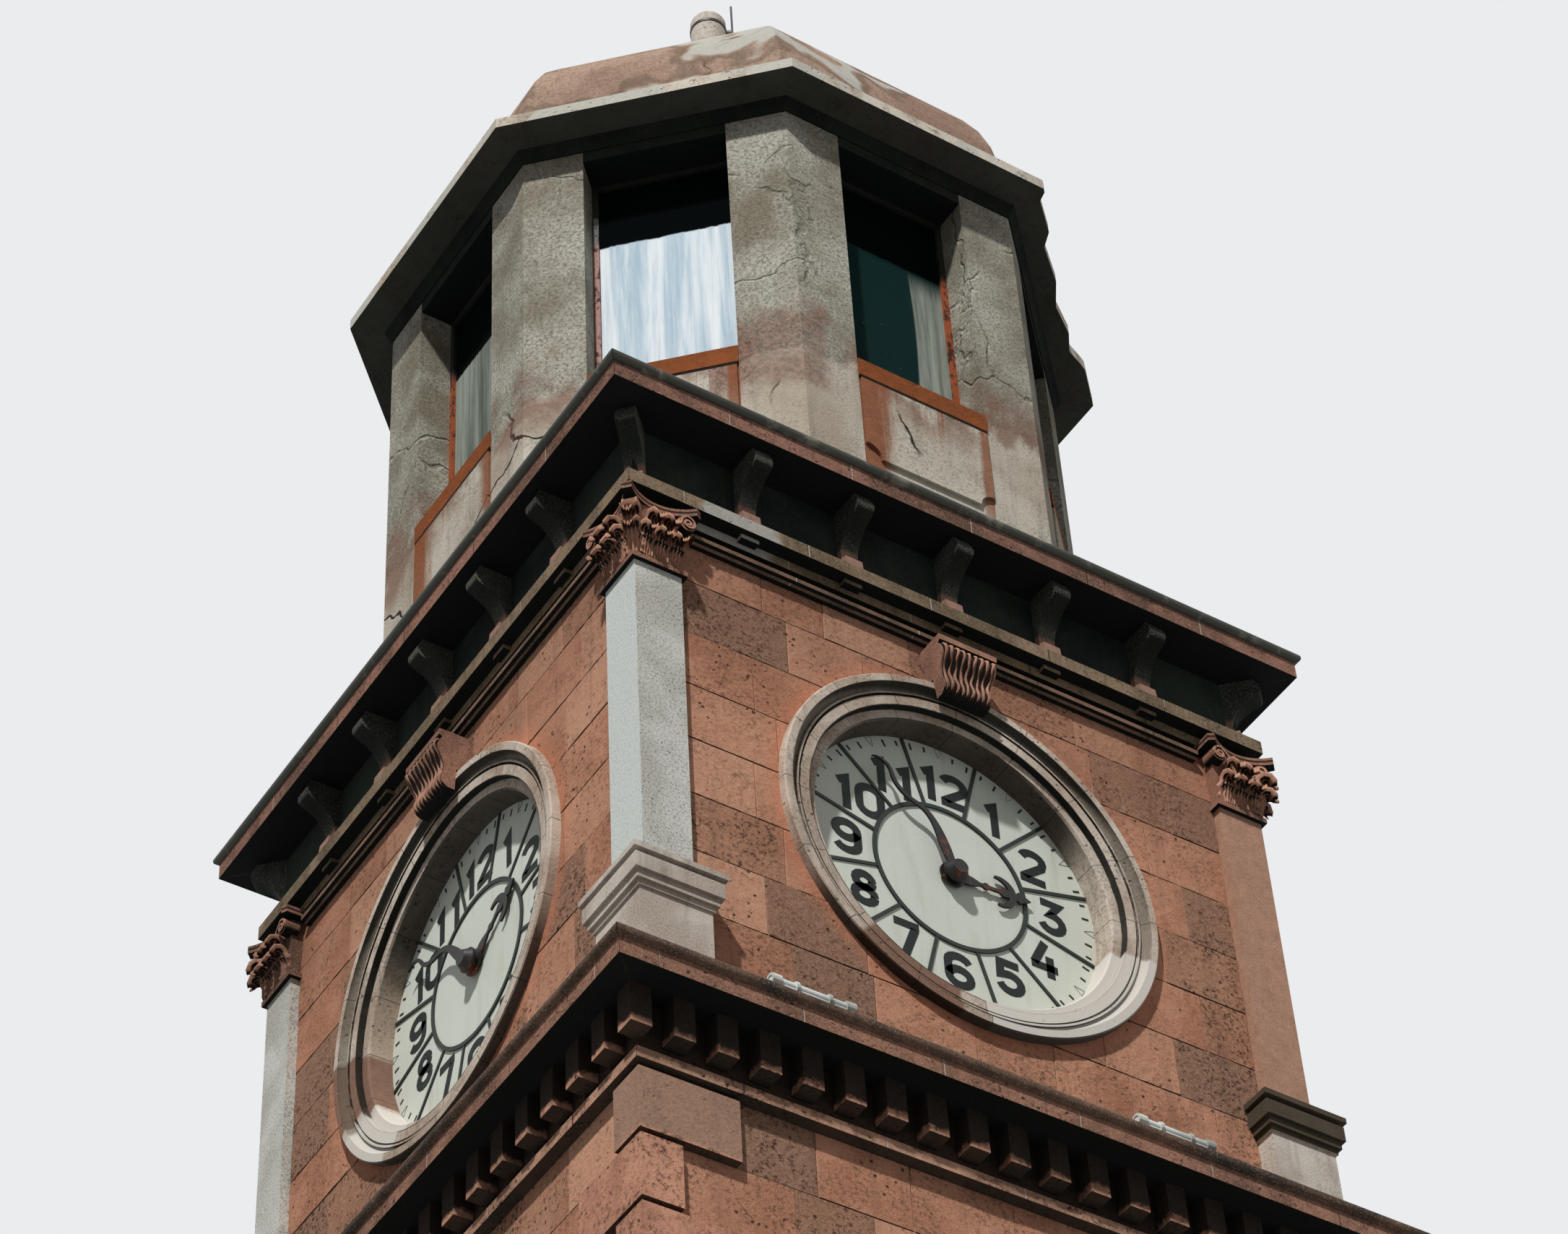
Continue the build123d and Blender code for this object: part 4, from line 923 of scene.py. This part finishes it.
def keystoneRibs(s):
    # upright rods down a keystone's scrolled front: the depth is a polynomial of the height through the
    # profile's points, the radius swells as a sine, and the rods wander slightly from side to side
    curve = np.polyfit(np.array(s["heights"]) - 3.6, s["reaches"], 4)
    z = np.linspace(s["top"], s["foot"], s["rows"])[:, None]
    reach = np.polyval(curve, z - 3.6)
    a = np.linspace(0, 2 * pi, s["around"] + 1)[None, :-1]
    faces = gridFaces(s["rows"], s["around"], closeColumns=True)
    end = (s["rows"] - 1) * s["around"]
    caps = np.array([[0, 3, 2, 1], [0, 5, 4, 3], [0, 1, 2, 3], [0, 3, 4, 5]])
    caps[2:] += end
    parts = []
    for turn in allSides:
        for k in range(s["count"]):
            share = (k / (s["count"] - 1) * 2 - 1) * s["spread"]
            half = s["headHalf"] - (s["head"] - z) * keystoneTaper
            middle = share * half + s["wander"] * np.sin(z * 46 + k * 1.9)
            radius = s["radius"] * (0.85 + 0.3 * np.sin((s["top"] - z) * 26 + k) * 0.5)
            across = middle + radius * np.cos(a)
            out = wallHalf + reach + 0.004 + radius * np.sin(a)
            up = np.broadcast_to(level["stage"] + z, across.shape)
            parts.append((onSide(turn, across, out, up), np.concatenate([faces, caps])))
    return joined(parts)


lampWork = {
    "places": (-1.59, 0.9), "distance": 2.822, "up": 0.056, "length": 0.54, "tube": 0.03, "cap": 0.043,
    "around": 16,
    "rings": ((-0.5, 0.03), (-0.22, 0.009), (0.22, 0.009), (0.5, 0.03)),     # share of the length, half width
}


def lampRings(s):
    # round end caps and clamps on the tube lights: a ring's profile of (along, radius) turned on the tube
    parts = []
    a = np.linspace(0, 2 * pi, s["around"] + 1)[:-1, None]
    faces = gridFaces(s["around"], 4, closeRows=True, closeColumns=True)
    inner = s["tube"] - 0.004
    for place in s["places"]:
        for share, half in s["rings"]:
            along = np.array([-half, -half, half, half])[None, :]
            radius = np.array([inner, s["cap"], s["cap"], inner])[None, :]
            middle = place + share * (s["length"] - 0.05)
            across = middle + np.broadcast_to(along, (s["around"], 4))
            out = s["distance"] + radius * np.cos(a)
            up = level["stage"] + s["up"] + radius * np.sin(a)
            parts.append((onSide(0, across, out, up), faces))
    return joined(parts)


lampGrey = stone("lampGrey", (206, 208, 200), (150, 152, 146), grainInk=0.2, depth=0.001)
makePiece("ledge_light_rings", *lampRings(lampWork), lampGrey, "light_plastic")
# painted shade, dark brown, on the carving's faces that look down
carvedClay = stone(
    "carvedClay", (190, 142, 118), (140, 102, 84), ink=(50, 36, 30), pale=(214, 180, 158), depth=0.005,
    stain=0.2, under=1.0, growth=(26, 20, 17),
)
makePiece("capital_leaves", *carvedLeaves(carving), carvedClay, "terracotta", smooth=True)
makePiece("capital_volutes", *carvedVolutes(carving), carvedClay, "terracotta")
makePiece("keystone_ribs", *keystoneRibs(ribWork), carvedClay, "keystone_terracotta", smooth=True)
print("carving made")


def pilasterExtra(p, colour, height):
    # smooth pale render on the near corner's left face, grey speckled render full of pits on its right
    # face, and bare reddish stone on the front's far corner
    x, y = p.part(0), p.part(1)
    nearLeft = (x < -2.395) * (y < 0.0)
    bare = (x > 0.0) * (y < 0.0)
    pits = p.noise(60, 5, 0.85).step(0.54, 0.6) * (p.noise(5, 3).step(0.35, 0.6) * 0.6 + 0.4)
    colour = (pits * 0.75).blend(colour, (92, 88, 78))
    colour = nearLeft.blend(colour, p.noise(150, 3, 0.7).blend((214, 219, 214), (202, 206, 200)))
    colour = bare.blend(colour, p.noise(14, 5, 0.7).blend((206, 160, 134), (140, 108, 90)))
    return colour, height * (1 - nearLeft * 0.85) - pits * 0.8


def baseExtra(p, colour, height):
    # the cap of the front's far corner is nearly black
    cap = (p.part(2) > level["stage"] + 0.76) * (p.part(0) > 0.0) * (p.part(1) < 0.0)
    return cap.blend(colour, p.noise(12, 5, 0.7).blend((92, 82, 68), (54, 48, 40))), height


paleRender = {"ink": (96, 92, 82), "grainScale": 70, "grainInk": 0.55, "speckInk": 0.35, "depth": 0.01}
dress(
    stone("pilasterRender", (214, 214, 206), (192, 190, 180), **paleRender, extra=pilasterExtra),
    "corner_pilasters",
)
dress(
    stone("baseRender", (212, 202, 190), (184, 170, 156), **paleRender, stain=0.3, extra=baseExtra),
    "pilaster_bases",
)


def lanternExtra(p, colour, height):
    # coarse stippled render above the sills; smoother and paler below a ragged edge, with reddish patches
    # at the change and a larger one on the front's near pier
    z = p.part(2) - level["lantern"]
    wobble = p.noise(2.2, 5, 0.65) * 0.9 - 0.45
    upper = (z + wobble).step(1.36, 1.44)
    rough = p.noise(40, 5, 0.85)
    tint = p.noise(1.3, 5, 0.65).step(0.35, 0.65).blend((200, 198, 184), (132, 126, 108))
    tint = (rough.step(0.42, 0.62) * 0.8).blend(tint, (84, 78, 64))
    colour = (upper * 0.85).blend(colour, tint)
    near = z + wobble * 0.6
    red = p.noise(1.2, 4, 0.6, 0.6).step(0.48, 0.6) * near.step(0.9, 1.3) * near.step(2.0, 1.6)
    colour = (red * 0.75).blend(colour, p.noise(24, 5, 0.8).blend((156, 116, 96), (96, 72, 60)))
    spot = abs(p.part(0) + 1.2 + wobble * 0.25).step(0.5, 0.36) * (p.part(1) < -1.9)
    spot = spot * near.step(0.95, 1.1) * near.step(1.85, 1.7)
    mottle = p.noise(24, 5, 0.8).step(0.4, 0.6).blend((158, 122, 104), (92, 72, 62))
    return (spot * 0.65).blend(colour, mottle), height + rough * upper * 0.6


def sillExtra(p, colour, height):
    # rust-brown and orange sills with a dark line of painted shadow under them, a wide rust run down one end
    # of each panel and a narrow one down the other
    colour, height = lanternExtra(p, colour, height)
    x, y, z = p.part(0), p.part(1), p.part(2) - level["lantern"]
    across = x * (y < -2.2) - y * (x < -2.2)
    across = across + (x - y) * 0.7071 * ((x + y) < -2.9)
    runs = p.scaled(5, 5, 0.4).noise(2.0, 4, 0.65, 0.3)
    wide = (across + runs * 0.3).step(-0.1, -0.24) * z.step(0.0, 0.4)
    narrow = (across - runs * 0.12).step(0.37, 0.42) * z.step(0.1, 0.7)
    drips = runs.step(0.55, 0.66) * z.step(0.7, 1.3) * 0.6
    near = z.step(1.325, 1.335).most(wide * 0.9).most(narrow * 0.8).most(drips)
    colour = near.blend(colour, p.noise(13, 5, 0.75).blend((172, 92, 44), (86, 56, 38)))
    # painted shadow: a near-black line just under the sills
    sillShadow = z.step(1.3, 1.306) * z.step(1.332, 1.326)
    return sillShadow.blend(colour, (20, 18, 15)), height


lanternRender = {
    "light": (204, 196, 180), "dark": (176, 162, 144), "ink": (86, 80, 68), "pale": (214, 212, 202),
    "patchScale": 0.9, "grainScale": 40, "stain": 0.3, "stainInk": (84, 80, 68), "cracks": 1.0,
    "crackScale": 0.75, "crackWidth": 0.014, "depth": 0.018,
}
dress(stone("lanternRender", **lanternRender, extra=lanternExtra), "lantern_piers")
dress(stone("sillRender", **lanternRender, extra=sillExtra), "lantern_spandrels")
# painted shadow: the soffit moulding and the window heads under the eave are nearly black
paintedShadowRender = stone(
    "soffitPaintedShadow", (34, 38, 33), (14, 18, 16), ink=(8, 10, 8), pale=(96, 96, 86), speckInk=0.15, stain=0.5,
    under=1.0, growth=(16, 22, 20),
)
dress(paintedShadowRender, "soffit_moulding", "window_heads")


def eaveExtra(p, colour, height):
    # patches of white plaster and darker chips on the pale worn lip
    white = p.wobbly(0.6, 1.4).noise(1.1, 3, 0.6).step(0.5, 0.53)
    colour = (white * 0.8).blend(colour, p.noise(40, 4).blend((214, 214, 204), (176, 172, 160)))
    chips = p.noise(7, 5, 0.75).step(0.6, 0.66)
    return (chips * 0.6).blend(colour, (128, 114, 96)), height - chips


def domeExtra(p, colour, height):
    # wavy repair bands wander over the pinkish render, edged by darker stone
    bands = p.wobbly(0.7, 1.1).noise(0.9, 3, 0.55)
    white = bands.step(0.48, 0.51) * bands.step(0.61, 0.57)
    edge = bands.step(0.42, 0.45) * bands.step(0.5, 0.46)
    colour = (p.noise(36, 5, 0.8).step(0.46, 0.6) * 0.5).blend(colour, (110, 84, 68))
    colour = (edge * 0.5).blend(colour, (92, 78, 64))
    colour = (white * 0.85).blend(colour, p.noise(50, 4).blend((206, 208, 200), (168, 164, 152)))
    return colour, height + white * 0.8


# painted shade, grey, on the eave's underside
eaveRender = stone(
    "eaveRender", (222, 212, 196), (188, 174, 154), pits=0.5, stain=0.35, extra=eaveExtra, depth=0.016,
    under=0.95, growth=(62, 64, 56),
)
domeRender = stone(
    "domeRender", (180, 152, 132), (152, 124, 106), ink=(96, 80, 68), patchScale=0.8, cracks=1.0,
    crackScale=0.6, stain=0.25, depth=0.016, extra=domeExtra,
)
dress(eaveRender, "eave_slab")
dress(domeRender, "dome_shell")


def flashingPaint(p):
    # dull greenish-black sheet with pale scuffs along its roll
    scuff = p.noise(5, 4, 0.7).step(0.55, 0.7)
    colour = p.noise(2.2, 4).blend((40, 44, 38), (66, 64, 54))
    colour = (scuff * 0.5).blend(colour, (150, 144, 132))
    return colour, 0.5 + scuff * 0.3, p.noise(7, 4), 0.01


dress(finishOf("agedSheet", flashingPaint, metallic=0.3), "main_flashing")
dress(stone("dirtySheet", (104, 80, 66), (52, 46, 40), ink=(34, 30, 26), stain=0.5), "lower_flashing")


def windowSides(p):
    # which seen window a place belongs to, front, left or the near corner's, and how far across it
    x, y = p.part(0), p.part(1)
    near = (x + y) < -2.7
    front = (y < -2.0) * (1.0 - near)
    left = (x < -2.0) * (1.0 - near)
    return front, left, near, front * x - left * y + near * (x - y) * 0.7071


def framePaint(p):
    # one stile of each seen window is rust-orange with dark marks, or dull pink on the near corner's, below
    # the painted shadow of the head; the rest is green-black, dark paint and painted shade
    front, left, near, across = windowSides(p)
    stile = (front * (across > 0.3)).most((left + near).least(1.0) * (across < -0.3))
    # painted shadow of the window head: the stile turns green-black above this height
    stile = stile * (p.part(2) - level["lantern"]).step(3.3, 3.1)
    marks = p.scaled(1, 1, 0.6).noise(16, 5, 0.75).step(0.5, 0.6)
    rust = marks.blend((156, 82, 48), (60, 34, 26))
    pink = marks.blend((120, 78, 66), (70, 48, 42))
    colour = stile.blend(p.noise(20, 4).blend((20, 26, 24), (40, 36, 32)), near.blend(rust, pink))
    return colour, 0.5 + marks * 0.35, p.noise(50, 4), 0.003


def glassPaint(p):
    # dusty panes: bright upright streaks of dust and painted reflection on the near corner's, a dark one with
    # a pale sheet down its right side in front, a pale streaked one on the left; every pane is black at its
    # top, painted shadow of the head
    front, left, near, across = windowSides(p)
    z = p.part(2) - level["lantern"]
    streaks = p.scaled(5, 5, 0.22).noise(1.5, 6, 0.7, 0.3)
    fine = p.scaled(4, 4, 0.7).noise(22, 4, 0.8)
    # painted reflection of bright sky mixed with dust on the near corner's pane
    dustAndReflection = streaks.step(0.34, 0.66).blend((172, 194, 208), (236, 242, 244))
    dustAndReflection = (fine.step(0.6, 0.68) * 0.6).blend(dustAndReflection, (240, 242, 242))
    dustAndReflection = near.blend((40, 60, 58), dustAndReflection)
    rise = z - 1.5
    sheet = (across - 0.16 - rise * 0.1 + rise ** 2.0 * 0.05).step(0.0, 0.02) * front
    sheet = sheet * z.step(3.2, 2.9)
    grey = streaks.step(0.35, 0.65).blend((158, 164, 154), (92, 98, 88))
    dark = (streaks.step(0.55, 0.8) * 0.35).blend((16, 40, 39), (96, 120, 118))
    dark = (fine.step(0.7, 0.72) * 0.8).blend(dark, (190, 200, 200))
    colour = near.blend(sheet.most(left * 0.9).blend(dark, grey), dustAndReflection)
    # painted shadow of the window head at the top of every pane
    top = (z + streaks * 0.06).step(3.2, 3.22)
    rough = (0.55 + streaks * 0.25).most(top * 0.97)
    return top.blend(colour, (4, 7, 7)), rough, streaks, 0.002


def doorPaint(p):
    # dark worn paint on upright planks
    seam = abs(p.maths("FRACT", p.part(0) / 0.15) - 0.5).step(0.46, 0.49)
    grain = p.scaled(30, 30, 1.5).noise(1.6, 5, 0.7)
    colour = grain.step(0.5, 0.7).blend((70, 50, 38), (112, 84, 62))
    return colour, 0.5 + grain * 0.3, grain - seam * 3, 0.006


dress(finishOf("frameIron", framePaint, metallic=0.1, specular=0.2), "window_frames")
dress(finishOf("dustyGlass", glassPaint, specular=0.02), "window_glass")
dress(finishOf("doorPaint", doorPaint), "door_leaf")
print("finishes set")


def addFloor(s):
    # a round pale floor just under the tower
    t = np.linspace(0, 2 * pi, 97)[:-1]
    rim = np.stack([np.cos(t), np.sin(t), np.zeros_like(t)], axis=-1) * s["floorRadius"]
    mesh = bpy.data.meshes.new("floor")
    mesh.from_pydata([*map(tuple, rim - [0, 0, 0.002])], [], [tuple(range(len(t)))])
    floor = bpy.data.objects.new("floor", mesh)
    bpy.context.scene.collection.objects.link(floor)
    paint = lambda p: [p.noise(0.6).blend((226, 226, 224), (220, 220, 218))]
    mesh.materials.append(finishOf("paleFloor", paint))


addFloor(lamps)
print("scene ready")
